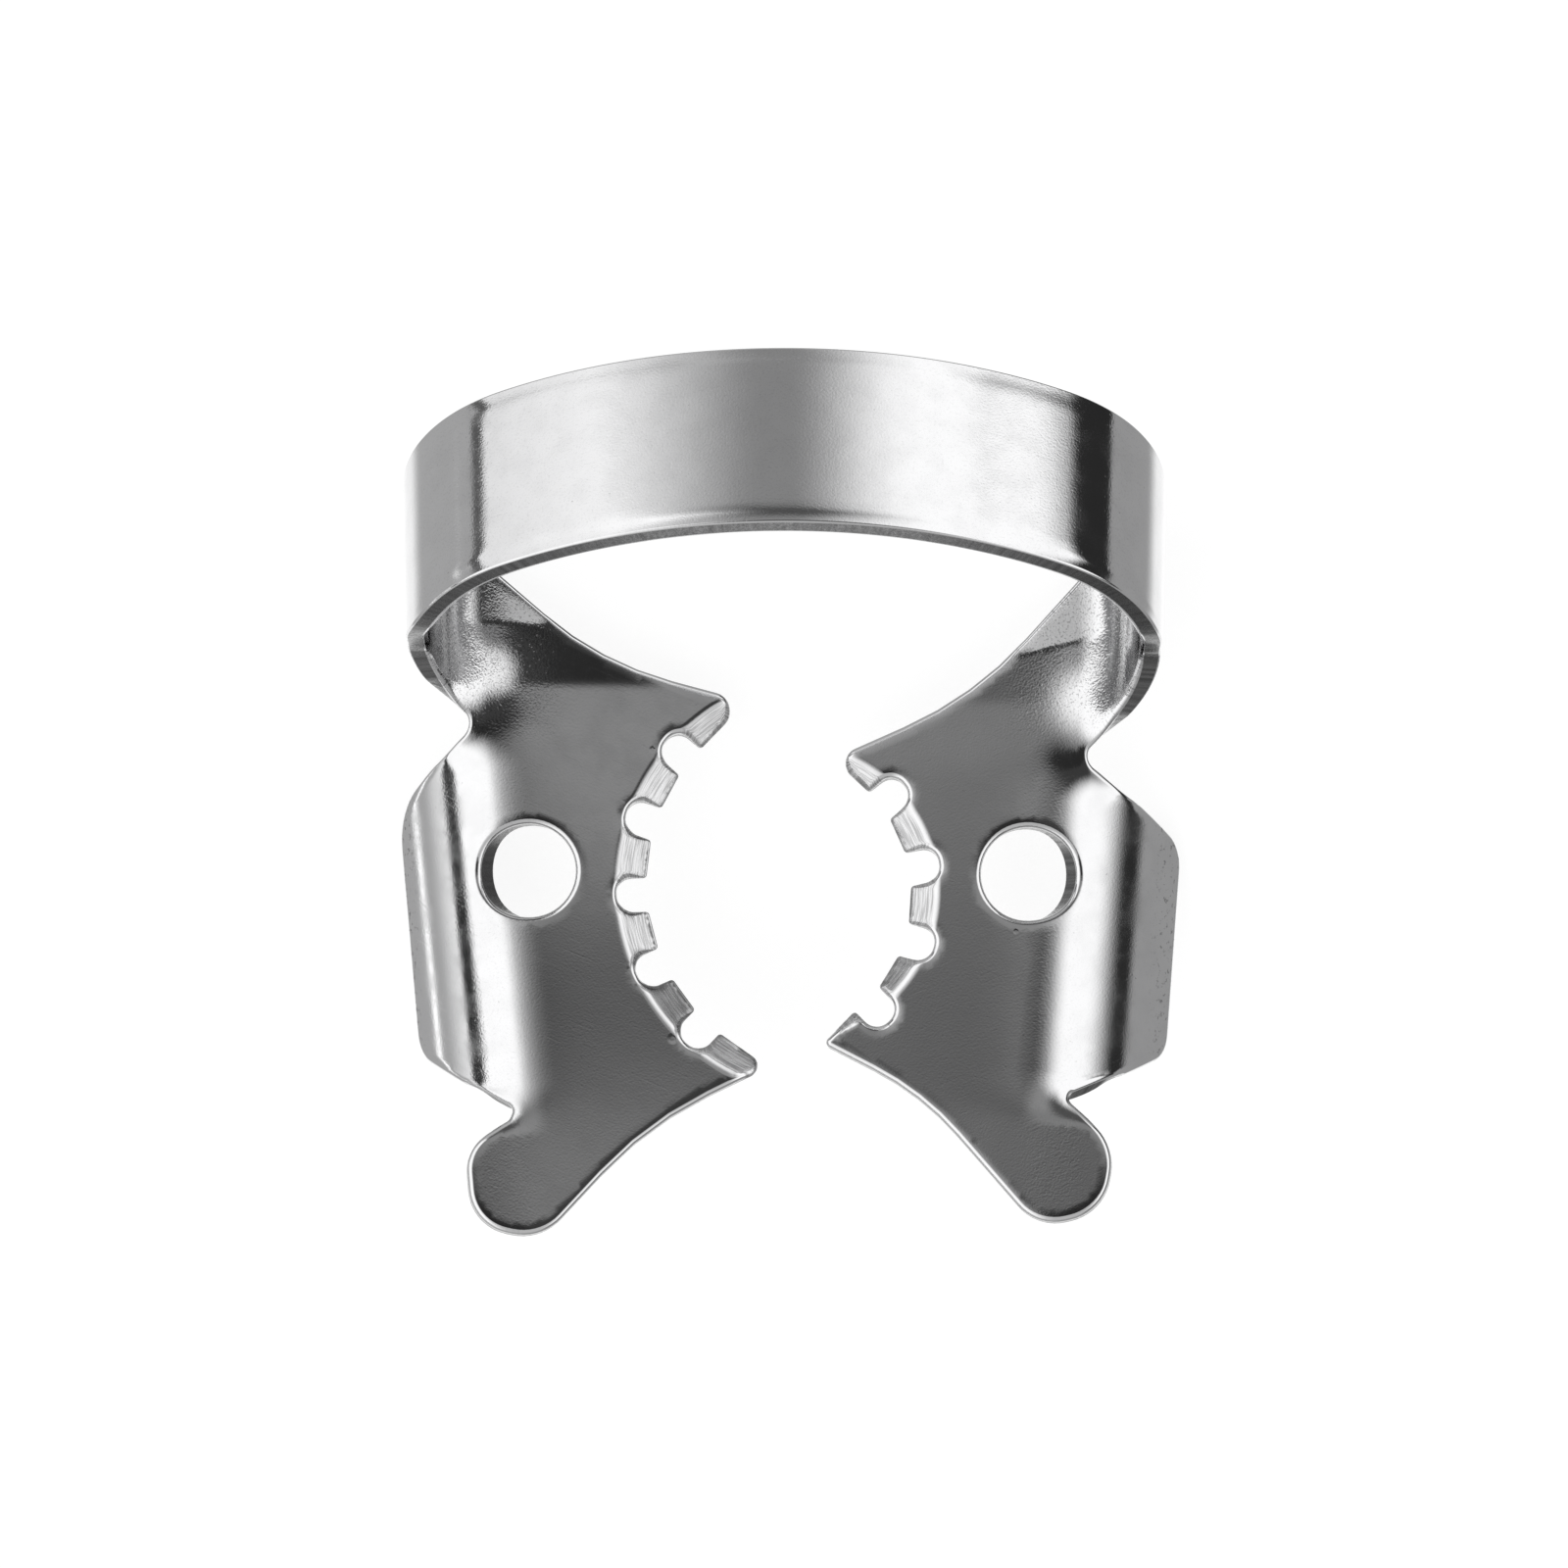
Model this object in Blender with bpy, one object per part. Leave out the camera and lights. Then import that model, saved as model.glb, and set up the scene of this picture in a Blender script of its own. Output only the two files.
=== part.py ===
"""Rubber dam clamp for a molar tooth, cut and bent from one piece of spring steel sheet.

The sheet is drawn flat first: a straight band joins two jaws, and each jaw has a toothed
margin, a forceps hole, a central wing and a rounded front lobe.  Then it is bent: the necks
turn up into the bow, the wings turn down, and the bow leans back over the far side of the
tooth.  The finished clamp is laid on the three points that it rests on.

Jaw coordinates: u runs outwards from the middle of the clamp, v runs towards the bow.
Band coordinates: s runs along the band from the foot of its corner to the crown, and t runs
across it, from the front edge to the back edge.
"""
import math

import bmesh
import bpy
from mathutils import Matrix, Vector
from mathutils.geometry import convex_hull_2d, delaunay_2d_cdt

MM = 0.001

# Sheet
SHEET = 0.70 * MM
EDGE_ROUND = 0.11 * MM

# Bow
BAND_WIDTH = 6.35 * MM
BOW_LEAN = 23.0
NECK_RADIUS = 2.40 * MM
NECK_START = 9.42 * MM
NECK_FILLET = 6.0 * MM
CORNER_RADIUS = 6.40 * MM
CORNER_ANGLE = 58.0
CORNER_HEIGHT = 3.40 * MM
CORNER_SETBACK = 6.31 * MM
BOW_FLARE = 3.0

# Jaws
JAW_FALL = 4.0
HOLE_DIAMETER = 3.00 * MM
NOTCH_RADIUS = 0.54 * MM
NOTCH_DEPTH = 0.98 * MM
TOOTH_CORNER = 0.12 * MM
BEVEL_SLOPE = 33.0
BEVEL_BLEND = 0.34 * MM
TIP_THICKNESS = 0.14 * MM

# Wings
WING_BEND_RADIUS = 2.20 * MM
WING_CURVE_RADIUS = 12.0 * MM
BLEND_NECK = 1.30 * MM
BLEND_LOBE = 0.90 * MM

# Fineness of the mesh
GRID = 0.66 * MM
ARC_STEP = 17.0
EDGE_STEP = 0.62 * MM
BAND_STEP = 1.10 * MM

STEEL = (0.60, 0.60, 0.61, 1.0)
STEEL_ROUGHNESS = 0.20


class Jaw:
    """The sizes of one jaw.  Each corner of its outline is a u, a v and a fillet radius."""

    def __init__(self, side, hole, margin_centre, margin_radius, notches, notch_span,
                 bevel_centre, bevel_radius, wing_bend, wing_skew, wing_angle,
                 neck, upper_notch, wing, lower_notch, lobe, front, tips, rear, band_back):
        self.side = side
        self.hole = Vector(hole) * MM
        self.margin_centre = Vector(margin_centre) * MM
        self.margin_radius = margin_radius * MM
        self.notches = notches
        self.notch_span = notch_span
        self.bevel_centre = Vector(bevel_centre) * MM
        self.bevel_radius = bevel_radius * MM
        self.wing_bend = wing_bend * MM
        self.wing_skew = wing_skew
        self.wing_angle = wing_angle
        self.neck = neck
        self.upper_notch = upper_notch
        self.wing = wing
        self.lower_notch = lower_notch
        self.lobe = lobe
        self.front = front
        self.tips = tips
        self.rear = rear
        self.band_back = band_back


LEFT = Jaw(
    side=-1,
    hole=(8.13, -2.79),
    margin_centre=(-1.79, -3.07), margin_radius=6.15, notches=5, notch_span=(-46.8, 39.0),
    bevel_centre=(-1.50, -3.19), bevel_radius=7.00,
    wing_bend=8.21, wing_skew=0.105, wing_angle=44.0,
    neck=(12.67, 4.09, 2.00),
    upper_notch=(9.77, 1.97, 0.44),
    wing=[(13.35, -0.59, 2.10), (12.72, -8.40, 1.18)],
    lower_notch=[(8.54, -10.38, 0.36), (8.73, -10.81, 0.36)],
    lobe=[(10.13, -11.64, 1.50), (9.91, -14.12, 1.70), (7.70, -14.58, 1.68)],
    front=(4.30, -10.91, 11.7),
    tips=[(0.46, -9.00, 0.37), (1.18, 2.72, 0.59)],
    rear=(5.86, 3.94, 10.3),
    band_back=(-1.59, 5.0),
)

RIGHT = Jaw(
    side=1,
    hole=(7.77, -2.90),
    margin_centre=(-0.71, -3.51), margin_radius=4.75, notches=4, notch_span=(-45.1, 37.7),
    bevel_centre=(0.11, -3.42), bevel_radius=4.92,
    wing_bend=8.01, wing_skew=0.08, wing_angle=38.0,
    neck=(13.09, 3.89, 1.59),
    upper_notch=(9.39, 0.87, 0.39),
    wing=[(13.89, -1.65, 1.19), (13.39, -8.37, 0.97)],
    lower_notch=[(8.85, -10.06, 0.22)],
    lobe=[(10.53, -11.52, 1.67), (10.16, -13.71, 1.70), (8.02, -14.18, 1.57)],
    front=(4.35, -9.93, 9.1),
    tips=[(1.22, -8.29, 0.18), (1.56, 0.87, 0.50)],
    rear=(6.07, 2.84, 11.5),
    band_back=(-1.61, 4.5),
)


def smooth_step(x):
    """Zero below 0, one above 1, and level at both ends."""
    x = min(max(x, 0.0), 1.0)
    return x * x * (3.0 - 2.0 * x)


# Bend profiles, each giving the distance out and the height of the sheet's middle

FALL = math.radians(JAW_FALL)
LEAN = math.radians(BOW_LEAN)
CORNER = math.radians(CORNER_ANGLE)
NECK_TURN = math.pi / 2.0 - FALL
NECK_END = NECK_START + NECK_RADIUS * NECK_TURN
NECK_RISE = NECK_RADIUS * math.cos(FALL)
SIDE_OUT = NECK_START + NECK_RADIUS * (1.0 - math.sin(FALL))
SHOULDER_OUT = SIDE_OUT - CORNER_RADIUS * (1.0 - math.cos(CORNER))
CROWN_RADIUS = SHOULDER_OUT / math.cos(CORNER)
CORNER_LENGTH = CORNER_RADIUS * CORNER
HALF_BAND = CORNER_LENGTH + CROWN_RADIUS * (math.pi / 2.0 - CORNER)


def flat_profile(u):
    """The plate of a jaw, which falls towards the tooth."""
    reach = u - NECK_START
    return NECK_START + reach * math.cos(FALL), reach * math.sin(FALL)


def neck_profile(u):
    """The plate, then the neck turned up through a quarter turn, then the side of the bow."""
    if u <= NECK_START:
        return flat_profile(u)
    turn = min((u - NECK_START) / NECK_RADIUS, NECK_TURN)
    out = NECK_START + NECK_RADIUS * (math.sin(FALL + turn) - math.sin(FALL))
    rise = NECK_RADIUS * (math.cos(FALL) - math.cos(FALL + turn))
    return out, rise + max(u - NECK_END, 0.0)


def wing_profile(jaw, u, v):
    """The plate, then the wing turned down by a tight bend and a gentle curve."""
    start = jaw.wing_bend + jaw.wing_skew * (v - jaw.hole.y)
    if u <= start:
        return flat_profile(u)
    out, rise = flat_profile(start)
    full = math.radians(jaw.wing_angle)
    turn = min((u - start) / WING_BEND_RADIUS, full)
    out += WING_BEND_RADIUS * (math.sin(turn - FALL) + math.sin(FALL))
    rise += WING_BEND_RADIUS * (math.cos(turn - FALL) - math.cos(FALL))
    slope = full - FALL
    more = max(u - start - WING_BEND_RADIUS * full, 0.0) / WING_CURVE_RADIUS
    out += WING_CURVE_RADIUS * (math.sin(slope + more) - math.sin(slope))
    rise += WING_CURVE_RADIUS * (math.cos(slope + more) - math.cos(slope))
    return out, rise


def bow_profile(s):
    """The bow in its leaning plane: the distance out and the height above its corner's foot."""
    turn = min(s / CORNER_RADIUS, CORNER)
    out = SIDE_OUT - CORNER_RADIUS * (1.0 - math.cos(turn))
    height = CORNER_RADIUS * math.sin(turn)
    more = max(s - CORNER_LENGTH, 0.0) / CROWN_RADIUS
    out -= CROWN_RADIUS * (math.cos(CORNER) - math.cos(CORNER + more))
    height += CROWN_RADIUS * (math.sin(CORNER + more) - math.sin(CORNER))
    return out, height


# Changes between the jaw's coordinates, the band's and the flat sheet's

def jaw_to_band(u, v):
    """Where a point of the jaw's plan lies along and across the band."""
    rise = u - NECK_END + NECK_RISE - CORNER_HEIGHT
    run = v - CORNER_SETBACK
    return run * math.sin(LEAN) + rise * math.cos(LEAN), run * math.cos(LEAN) - rise * math.sin(LEAN)


def band_to_jaw(s, t):
    """Where a point of the band lies in the jaw's plan, were the sheet laid flat."""
    u = s * math.cos(LEAN) - t * math.sin(LEAN) + CORNER_HEIGHT - NECK_RISE + NECK_END
    return u, s * math.sin(LEAN) + t * math.cos(LEAN) + CORNER_SETBACK


def to_sheet(jaw, u, v):
    """A point of the flat sheet, which has the crown of the bow at its origin."""
    s, t = jaw_to_band(u, v)
    return Vector((jaw.side * (HALF_BAND - s), t))


def from_sheet(point):
    """The jaw that a point of the flat sheet belongs to, with its u and v there."""
    jaw = RIGHT if point.x > 0.0 else LEFT
    u, v = band_to_jaw(HALF_BAND - abs(point.x), point.y)
    return jaw, u, v


def bent(point):
    """The middle of the bent sheet at a point of the flat sheet."""
    jaw, u, v = from_sheet(point)
    s = HALF_BAND - abs(point.x)
    flare = BOW_FLARE * point.y
    if s > 0.0 and u > NECK_END - SHEET / 2.0:
        out, height = bow_profile(s)
        out *= 1.0 + flare
        along = CORNER_SETBACK + height * math.sin(LEAN) + point.y * math.cos(LEAN)
        up = CORNER_HEIGHT + height * math.cos(LEAN) - point.y * math.sin(LEAN)
        return Vector((jaw.side * out, along, up))
    plate = flat_profile(u)
    wing = wing_profile(jaw, u, v)
    neck = neck_profile(u)
    upper = jaw.upper_notch[1] * MM
    lower = jaw.lower_notch[0][1] * MM
    to_neck = smooth_step((v - upper + BLEND_NECK) / (2.0 * BLEND_NECK))
    to_wing = smooth_step((v - lower + BLEND_LOBE) / (2.0 * BLEND_LOBE))
    spot = []
    for k in (0, 1):
        below = plate[k] + (wing[k] - plate[k]) * to_wing
        spot.append(below + (neck[k] - below) * to_neck)
    flare *= to_neck * smooth_step((u - NECK_START) / (1.5 * NECK_RADIUS))
    return Vector((jaw.side * spot[0] * (1.0 + flare), v, spot[1]))


def facing(point):
    """The direction that the tooth side of the bent sheet's upper face looks in."""
    probe = SHEET * 0.02
    across = bent(point + Vector((probe, 0.0))) - bent(point - Vector((probe, 0.0)))
    along = bent(point + Vector((0.0, probe))) - bent(point - Vector((0.0, probe)))
    return along.cross(across).normalized()


# Thickness of the sheet, less what the ground bevel takes off the toothed margin

def thickness(point):
    """The sheet's thickness, thinned along the margin by a bevel with a soft upper edge."""
    jaw, u, v = from_sheet(point)
    inside = jaw.bevel_radius - (Vector((u, v)) - jaw.bevel_centre).length
    if inside <= 0.0:
        return SHEET
    slope = math.tan(math.radians(BEVEL_SLOPE))
    if inside < BEVEL_BLEND:
        drop = slope * inside * inside / (2.0 * BEVEL_BLEND)
    else:
        drop = slope * (inside - BEVEL_BLEND / 2.0)
    return max(SHEET - drop, TIP_THICKNESS)


# Outline of the flat sheet

def arc(centre, radius, start, end):
    """Points along an arc, from its start angle to its end angle in radians."""
    count = max(2, math.ceil(abs(end - start) / math.radians(ARC_STEP)))
    points = []
    for i in range(count + 1):
        angle = start + (end - start) * i / count
        points.append(centre + radius * Vector((math.cos(angle), math.sin(angle))))
    return points


def rounded(corners):
    """A closed outline through corners (point, fillet radius), with each corner filleted."""
    points = []
    count = len(corners)
    for i, (corner, radius) in enumerate(corners):
        back = corners[i - 1][0] - corner
        ahead = corners[(i + 1) % count][0] - corner
        if radius <= 0.0:
            points.append(corner)
            continue
        half = back.angle(ahead) / 2.0
        room = min(back.length, ahead.length) * 0.5
        reach = min(radius / math.tan(half), room)
        radius = reach * math.tan(half)
        middle = (back.normalized() + ahead.normalized()).normalized()
        centre = corner + middle * radius / math.sin(half)
        first = corner + back.normalized() * reach - centre
        last = corner + ahead.normalized() * reach - centre
        start = math.atan2(first.y, first.x)
        sweep = (math.atan2(last.y, last.x) - start + math.pi) % math.tau - math.pi
        points.extend(arc(centre, radius, start, start + sweep))
    return points


def notch(jaw, angle):
    """One punched notch of the margin, as corners in u and v from its front to its back."""
    half = math.asin(NOTCH_RADIUS / jaw.margin_radius)
    aim = Vector((math.cos(angle), math.sin(angle)))
    side = Vector((-aim.y, aim.x)) * NOTCH_RADIUS
    mouth = jaw.margin_centre + aim * jaw.margin_radius * math.cos(half)
    floor = jaw.margin_centre + aim * (jaw.margin_radius + NOTCH_DEPTH)
    return [
        (mouth - side, TOOTH_CORNER),
        (floor - side, NOTCH_RADIUS * 0.98),
        (floor + side, NOTCH_RADIUS * 0.98),
        (mouth + side, TOOTH_CORNER),
    ]


def margin(jaw):
    """The toothed margin of a jaw, from its front tip to its rear tip."""
    corners = []
    first, last = jaw.notch_span
    for i in range(jaw.notches):
        angle = first + (last - first) * i / max(jaw.notches - 1, 1)
        corners.extend(notch(jaw, math.radians(angle)))
    return corners


def jaw_corners(jaw):
    """The corners of one jaw, from the front edge of the band round to its back edge."""
    def sized(*rows):
        return [(Vector(row[:2]) * MM, row[2] * MM) for row in rows]

    foot = Vector(band_to_jaw(0.0, -BAND_WIDTH / 2.0))
    level = jaw.neck[1] * MM
    meeting = Vector((foot.x + (level - foot.y) / math.tan(LEAN), level))
    station, fillet = jaw.band_back
    corners = [(meeting, NECK_FILLET)]
    corners += sized(jaw.neck, jaw.upper_notch, *jaw.wing, *jaw.lower_notch, *jaw.lobe, jaw.front)
    corners += sized(jaw.tips[0]) + margin(jaw) + sized(jaw.tips[1], jaw.rear)
    corners.append((Vector(band_to_jaw(station * MM, BAND_WIDTH / 2.0)), fillet * MM))
    return [(to_sheet(jaw, point.x, point.y), radius) for point, radius in corners]


def fill_edges(points):
    """The outline with its long straight stretches divided, finer where the sheet bends."""
    filled = []
    for i, point in enumerate(points):
        ahead = points[(i + 1) % len(points)]
        middle = (point + ahead) / 2.0
        on_band = HALF_BAND - abs(middle.x) > 0.0
        step = BAND_STEP if on_band else EDGE_STEP
        count = max(1, round((ahead - point).length / step))
        for k in range(count):
            filled.append(point.lerp(ahead, k / count))
    return filled


def sheet_outline():
    """The outer edge of the flat sheet, anticlockwise."""
    right = jaw_corners(RIGHT)
    left = jaw_corners(LEFT)
    points = rounded(right + left[::-1])
    area = sum(a.x * b.y - b.x * a.y for a, b in zip(points, points[1:] + points[:1]))
    if area < 0.0:
        points.reverse()
    return fill_edges(points)


def hole_outline(jaw):
    """The edge of a forceps hole, clockwise."""
    centre = to_sheet(jaw, jaw.hole.x, jaw.hole.y)
    ring = arc(centre, HOLE_DIAMETER / 2.0, math.tau, 0.0)
    return ring[:-1]


def inset_normals(loop):
    """For each point of a loop, the step into the sheet that keeps its edges parallel."""
    steps = []
    count = len(loop)
    for i, point in enumerate(loop):
        before = (point - loop[i - 1]).normalized()
        after = (loop[(i + 1) % count] - point).normalized()
        inward = Vector((-before.y - after.y, before.x + after.x)).normalized()
        spread = max(inward.dot(Vector((-before.y, before.x))), 0.5)
        steps.append(inward / spread)
    return steps


# The solid

def inner_points(loops):
    """Points inside the sheet for its faces, clear of its edges."""
    outer = loops[0]
    low = Vector((min(p.x for p in outer), min(p.y for p in outer)))
    high = Vector((max(p.x for p in outer), max(p.y for p in outer)))
    rows = math.ceil((high.y - low.y) / (GRID * 0.87))
    columns = math.ceil((high.x - low.x) / GRID)
    grid = []
    for j in range(rows):
        for i in range(columns):
            shift = 0.5 if j % 2 else 0.0
            grid.append(low + Vector(((i + shift) * GRID, j * GRID * 0.87)))
    return [p for p in grid if clear_of_edges(p, loops, GRID * 0.55)]


def clear_of_edges(point, loops, gap):
    """True where a point is inside the sheet and no nearer than a gap to its edges."""
    crossings = 0
    for loop in loops:
        for i, a in enumerate(loop):
            b = loop[i - 1]
            near = a - b
            share = min(max((point - b).dot(near) / near.length_squared, 0.0), 1.0)
            if (b + near * share - point).length < gap:
                return False
            if (a.y > point.y) != (b.y > point.y):
                if point.x < b.x + (point.y - b.y) / (a.y - b.y) * (a.x - b.x):
                    crossings += 1
    return crossings % 2 == 1


def build_sheet():
    """The bent clamp as one closed mesh, in the jaws' own frame."""
    loops = [sheet_outline(), hole_outline(LEFT), hole_outline(RIGHT)]
    mesh = bmesh.new()

    def lifted(point, share, drop):
        """A vertex at a share of the thickness above the underside, less a drop."""
        level = thickness(point) * share - SHEET / 2.0 - drop
        return mesh.verts.new(bent(point) + facing(point) * level)

    rims = []
    flat_loops = []
    for loop in loops:
        steps = inset_normals(loop)
        rings = [[], [], [], []]
        flat = []
        for point, step in zip(loop, steps):
            edge = min(EDGE_ROUND, thickness(point) * 0.35)
            inner = point + step * edge
            flat.append(inner)
            rings[0].append(lifted(inner, 1.0, 0.0))
            rings[1].append(lifted(point, 1.0, edge))
            rings[2].append(lifted(point, 0.0, -edge))
            rings[3].append(lifted(inner, 0.0, 0.0))
        rims.append(rings)
        flat_loops.append(flat)
        for upper, lower in zip(rings, rings[1:]):
            for i in range(len(loop)):
                mesh.faces.new((upper[i - 1], upper[i], lower[i], lower[i - 1]))

    points = [p for loop in flat_loops for p in loop]
    edges = []
    base = 0
    for loop in flat_loops:
        edges += [(base + i, base + (i + 1) % len(loop)) for i in range(len(loop))]
        base += len(loop)
    extra = inner_points(flat_loops)
    coords = [p / MM for p in points + extra]
    found = delaunay_2d_cdt(coords, edges, [], 2, 1e-6)
    spots, triangles, origins = found[0], found[2], found[3]

    top = {}
    bottom = {}
    ring_of = {}
    rim_top = [v for rings in rims for v in rings[0]]
    rim_bottom = [v for rings in rims for v in rings[3]]
    rim_ring = [k for k, rings in enumerate(rims) for v in rings[0]]
    for i, source in enumerate(origins):
        if source and source[0] < len(rim_top):
            top[i] = rim_top[source[0]]
            bottom[i] = rim_bottom[source[0]]
            ring_of[i] = rim_ring[source[0]]
        else:
            point = Vector(spots[i]) * MM
            top[i] = lifted(point, 1.0, 0.0)
            bottom[i] = lifted(point, 0.0, 0.0)
    for a, b, c in triangles:
        if ring_of.get(a, 0) and ring_of[a] == ring_of.get(b) == ring_of.get(c):
            continue
        mesh.faces.new((top[a], top[b], top[c]))
        mesh.faces.new((bottom[c], bottom[b], bottom[a]))
    bmesh.ops.recalc_face_normals(mesh, faces=mesh.faces)
    bmesh.ops.triangulate(mesh, faces=mesh.faces)
    return mesh


def balance_point(mesh):
    """The centre of gravity of a closed mesh."""
    total = 0.0
    moment = Vector()
    for face in mesh.faces:
        a, b, c = (v.co for v in face.verts)
        volume = a.dot(b.cross(c)) / 6.0
        total += volume
        moment += (a + b + c) * volume / 4.0
    return moment / total


def resting_turn(mesh):
    """The turn that lays the clamp on the three points that it rests on."""
    centre = balance_point(mesh)
    hull = bmesh.new()
    for vert in mesh.verts:
        hull.verts.new(vert.co)
    bmesh.ops.convex_hull(hull, input=hull.verts)
    best = None
    for face in hull.faces:
        normal = face.normal
        if normal.z > -0.7:
            continue
        drop = (face.verts[0].co - centre).dot(normal)
        foot = centre + normal * drop
        corners = [v.co for v in face.verts]
        inside = all(
            (b - a).cross(foot - a).dot(normal) >= 0.0
            for a, b in zip(corners, corners[1:] + corners[:1])
        )
        if inside and (best is None or normal.z < best.z):
            best = normal.copy()
    hull.free()
    return best.rotation_difference(Vector((0.0, 0.0, -1.0))).to_matrix().to_4x4()


def steel_material():
    """Polished stainless spring steel."""
    material = bpy.data.materials.new("spring_steel")
    material.use_nodes = True
    shader = material.node_tree.nodes["Principled BSDF"]
    shader.inputs["Base Color"].default_value = STEEL
    shader.inputs["Metallic"].default_value = 1.0
    shader.inputs["Roughness"].default_value = STEEL_ROUGHNESS
    return material


def main():
    """Build the clamp and lay it at rest, with its origin under the middle of it."""
    for thing in list(bpy.data.objects):
        bpy.data.objects.remove(thing, do_unlink=True)
    mesh = build_sheet()
    mesh.transform(resting_turn(mesh))
    low = Vector([min(v.co[k] for v in mesh.verts) for k in range(3)])
    high = Vector([max(v.co[k] for v in mesh.verts) for k in range(3)])
    middle = (low + high) / 2.0
    mesh.transform(Matrix.Translation((-middle.x, -middle.y, -low.z)))
    data = bpy.data.meshes.new("clamp")
    mesh.to_mesh(data)
    mesh.free()
    data.shade_smooth()
    data.set_sharp_from_angle(angle=math.radians(40.0))
    clamp = bpy.data.objects.new("clamp", data)
    clamp.data.materials.append(steel_material())
    bpy.context.scene.collection.objects.link(clamp)


main()
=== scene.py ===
"""The look of a rubber dam clamp: a finely rounded spring steel sheet on a pale studio table.

The sheet is drawn flat, meshed, and bent into shape by the same formulas as the solid it
stands for, but with finer edges, and with normals that also carry its slightest forms.
Coordinates on the flat sheet are x along the band, with the crown of the bow at zero, and t
across it.  Jaw coordinates are u outwards from the middle of the clamp and v towards the bow.
"""
import math

import bpy
import numpy as np
from bpy.props import FloatProperty, FloatVectorProperty, IntProperty, PointerProperty
from bpy.types import Operator, Panel, PropertyGroup
from mathutils import Euler, Matrix, Vector
from mathutils.geometry import delaunay_2d_cdt
from mathutils.kdtree import KDTree


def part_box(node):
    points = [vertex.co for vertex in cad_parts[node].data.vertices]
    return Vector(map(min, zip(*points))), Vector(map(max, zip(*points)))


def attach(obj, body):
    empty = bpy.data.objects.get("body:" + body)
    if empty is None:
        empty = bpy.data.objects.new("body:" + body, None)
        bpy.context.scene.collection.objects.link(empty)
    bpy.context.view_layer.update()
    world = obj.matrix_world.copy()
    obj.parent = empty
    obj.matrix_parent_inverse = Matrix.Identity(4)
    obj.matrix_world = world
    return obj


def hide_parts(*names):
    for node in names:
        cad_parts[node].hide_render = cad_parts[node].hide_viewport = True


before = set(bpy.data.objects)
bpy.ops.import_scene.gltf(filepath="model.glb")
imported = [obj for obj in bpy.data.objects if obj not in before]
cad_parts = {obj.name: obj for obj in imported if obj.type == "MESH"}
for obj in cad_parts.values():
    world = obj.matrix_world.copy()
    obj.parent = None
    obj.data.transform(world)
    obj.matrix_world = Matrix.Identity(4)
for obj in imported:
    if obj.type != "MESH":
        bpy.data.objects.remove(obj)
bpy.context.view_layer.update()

bl_info = {
    "name": "Rubber Dam Clamp",
    "version": (1, 0, 0),
    "blender": (4, 5, 0),
    "location": "View3D > Sidebar > Clamp",
    "description": "Builds a bent spring steel clamp with ground teeth, and its studio",
    "category": "Add Mesh",
}

MM = 0.001

# How the clamp lies on the table, and how the camera leans, in degrees
REST_TURN = (-20.3708, 0.3340, -0.0602)
CAMERA_TIP = 7.0
STUDIO_TIP = math.radians(10.5)
CAMERA_DISTANCE = 300.0 * MM
CAMERA_LENS = 216.0
SENSOR_WIDTH = 36.0

# Bow
BAND_WIDTH = 6.35 * MM
BOW_LEAN = math.radians(23.0)
BOW_FLARE = 3.0
NECK_RADIUS = 2.40 * MM
NECK_START = 9.42 * MM
NECK_FILLET = 6.0 * MM
CORNER_RADIUS = 6.40 * MM
CORNER_ANGLE = math.radians(58.0)
CORNER_HEIGHT = 3.40 * MM
CORNER_SETBACK = 6.31 * MM

# Jaws and wings
JAW_FALL = math.radians(4.0)
HOLE_RADIUS = 1.49 * MM
NOTCH_RADIUS = 0.54 * MM
NOTCH_DEPTH = 0.98 * MM
TOOTH_CORNER = 0.13 * MM
WING_BEND_RADIUS = 2.20 * MM
WING_CURVE_RADIUS = 12.0 * MM
BLEND_NECK = 1.30 * MM
BLEND_LOBE = 0.90 * MM

# Nicks left by use: u (negative on the left jaw), v and radius, in mm
NICKS = ((3.30, -6.80, 0.16), (-4.20, 1.10, 0.14), (-3.55, -8.15, 0.20), (7.40, -4.75, 0.10))
# Directions of the hair scratches, in degrees, and a shift that keeps them apart
SCRATCH_TURNS = ((4.0, 0.0), (37.0, 7.3), (-28.0, 13.1), (81.0, 21.7))

# Slight forms of the plates, in mm of the left and the right jaw, leaned into the normals: a
# long wave, the two rises of the rear edges from v on, the twists beside the upper notches and
# the leads into the necks.  A fade is where a form starts to give way along u, and its end.
WAVE_SLOPE = (0.016, 0.004)
WAVE_LENGTH = 14.0
WAVE_START = -3.2
REAR_RISE = (3.25, 2.6)
REAR_SLOPE = (0.125, 0.035)
REAR_BLEND = 0.30
REAR_FADE = (9.6, 7.8)
LIFT_RISE = (5.15, 4.45)
LIFT_SLOPE = 0.31
LIFT_SLANT = (0.0, 0.22)
LIFT_MIDDLE = 9.0
LIFT_FADE = (10.8, 9.3)
TWISTS = ((9.10, 2.30), (9.10, 0.85))
TWIST_SIZE = 0.50
TWIST_SLOPE = 0.09
LEADS = ((9.35, 3.60), (9.75, 2.62))
LEAD_SIZE = (0.70, 0.74)
LEAD_SLOPE = (0.40, 0.33)
# How far the step that bending leaves at the upper notches is eased
NOTCH_EASE = 0.85
NOTCH_FADE = (11.0, 10.1)
# How the wings' bends set in: shifted outwards, spread over a width, given up over a range of
# the bend's turn, cleared of it above the notch, and shown from v beside the notch down
BEND_SHIFT = (0.40, 0.12)
BEND_SPREAD = (0.85, 0.75)
BEND_SHARES = (0.55, 0.28)
BEND_CLEARED = 0.9
BEND_SHOWN = (0.45, -1.55)
# How far each hole's lower edge is set towards the middle, as punched, and the painted shade in its
# wall's colour
HOLE_SLANT = (0.15, 0.10)
HOLE_PAINTED_SHADE = (0.7, 0.0)
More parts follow.
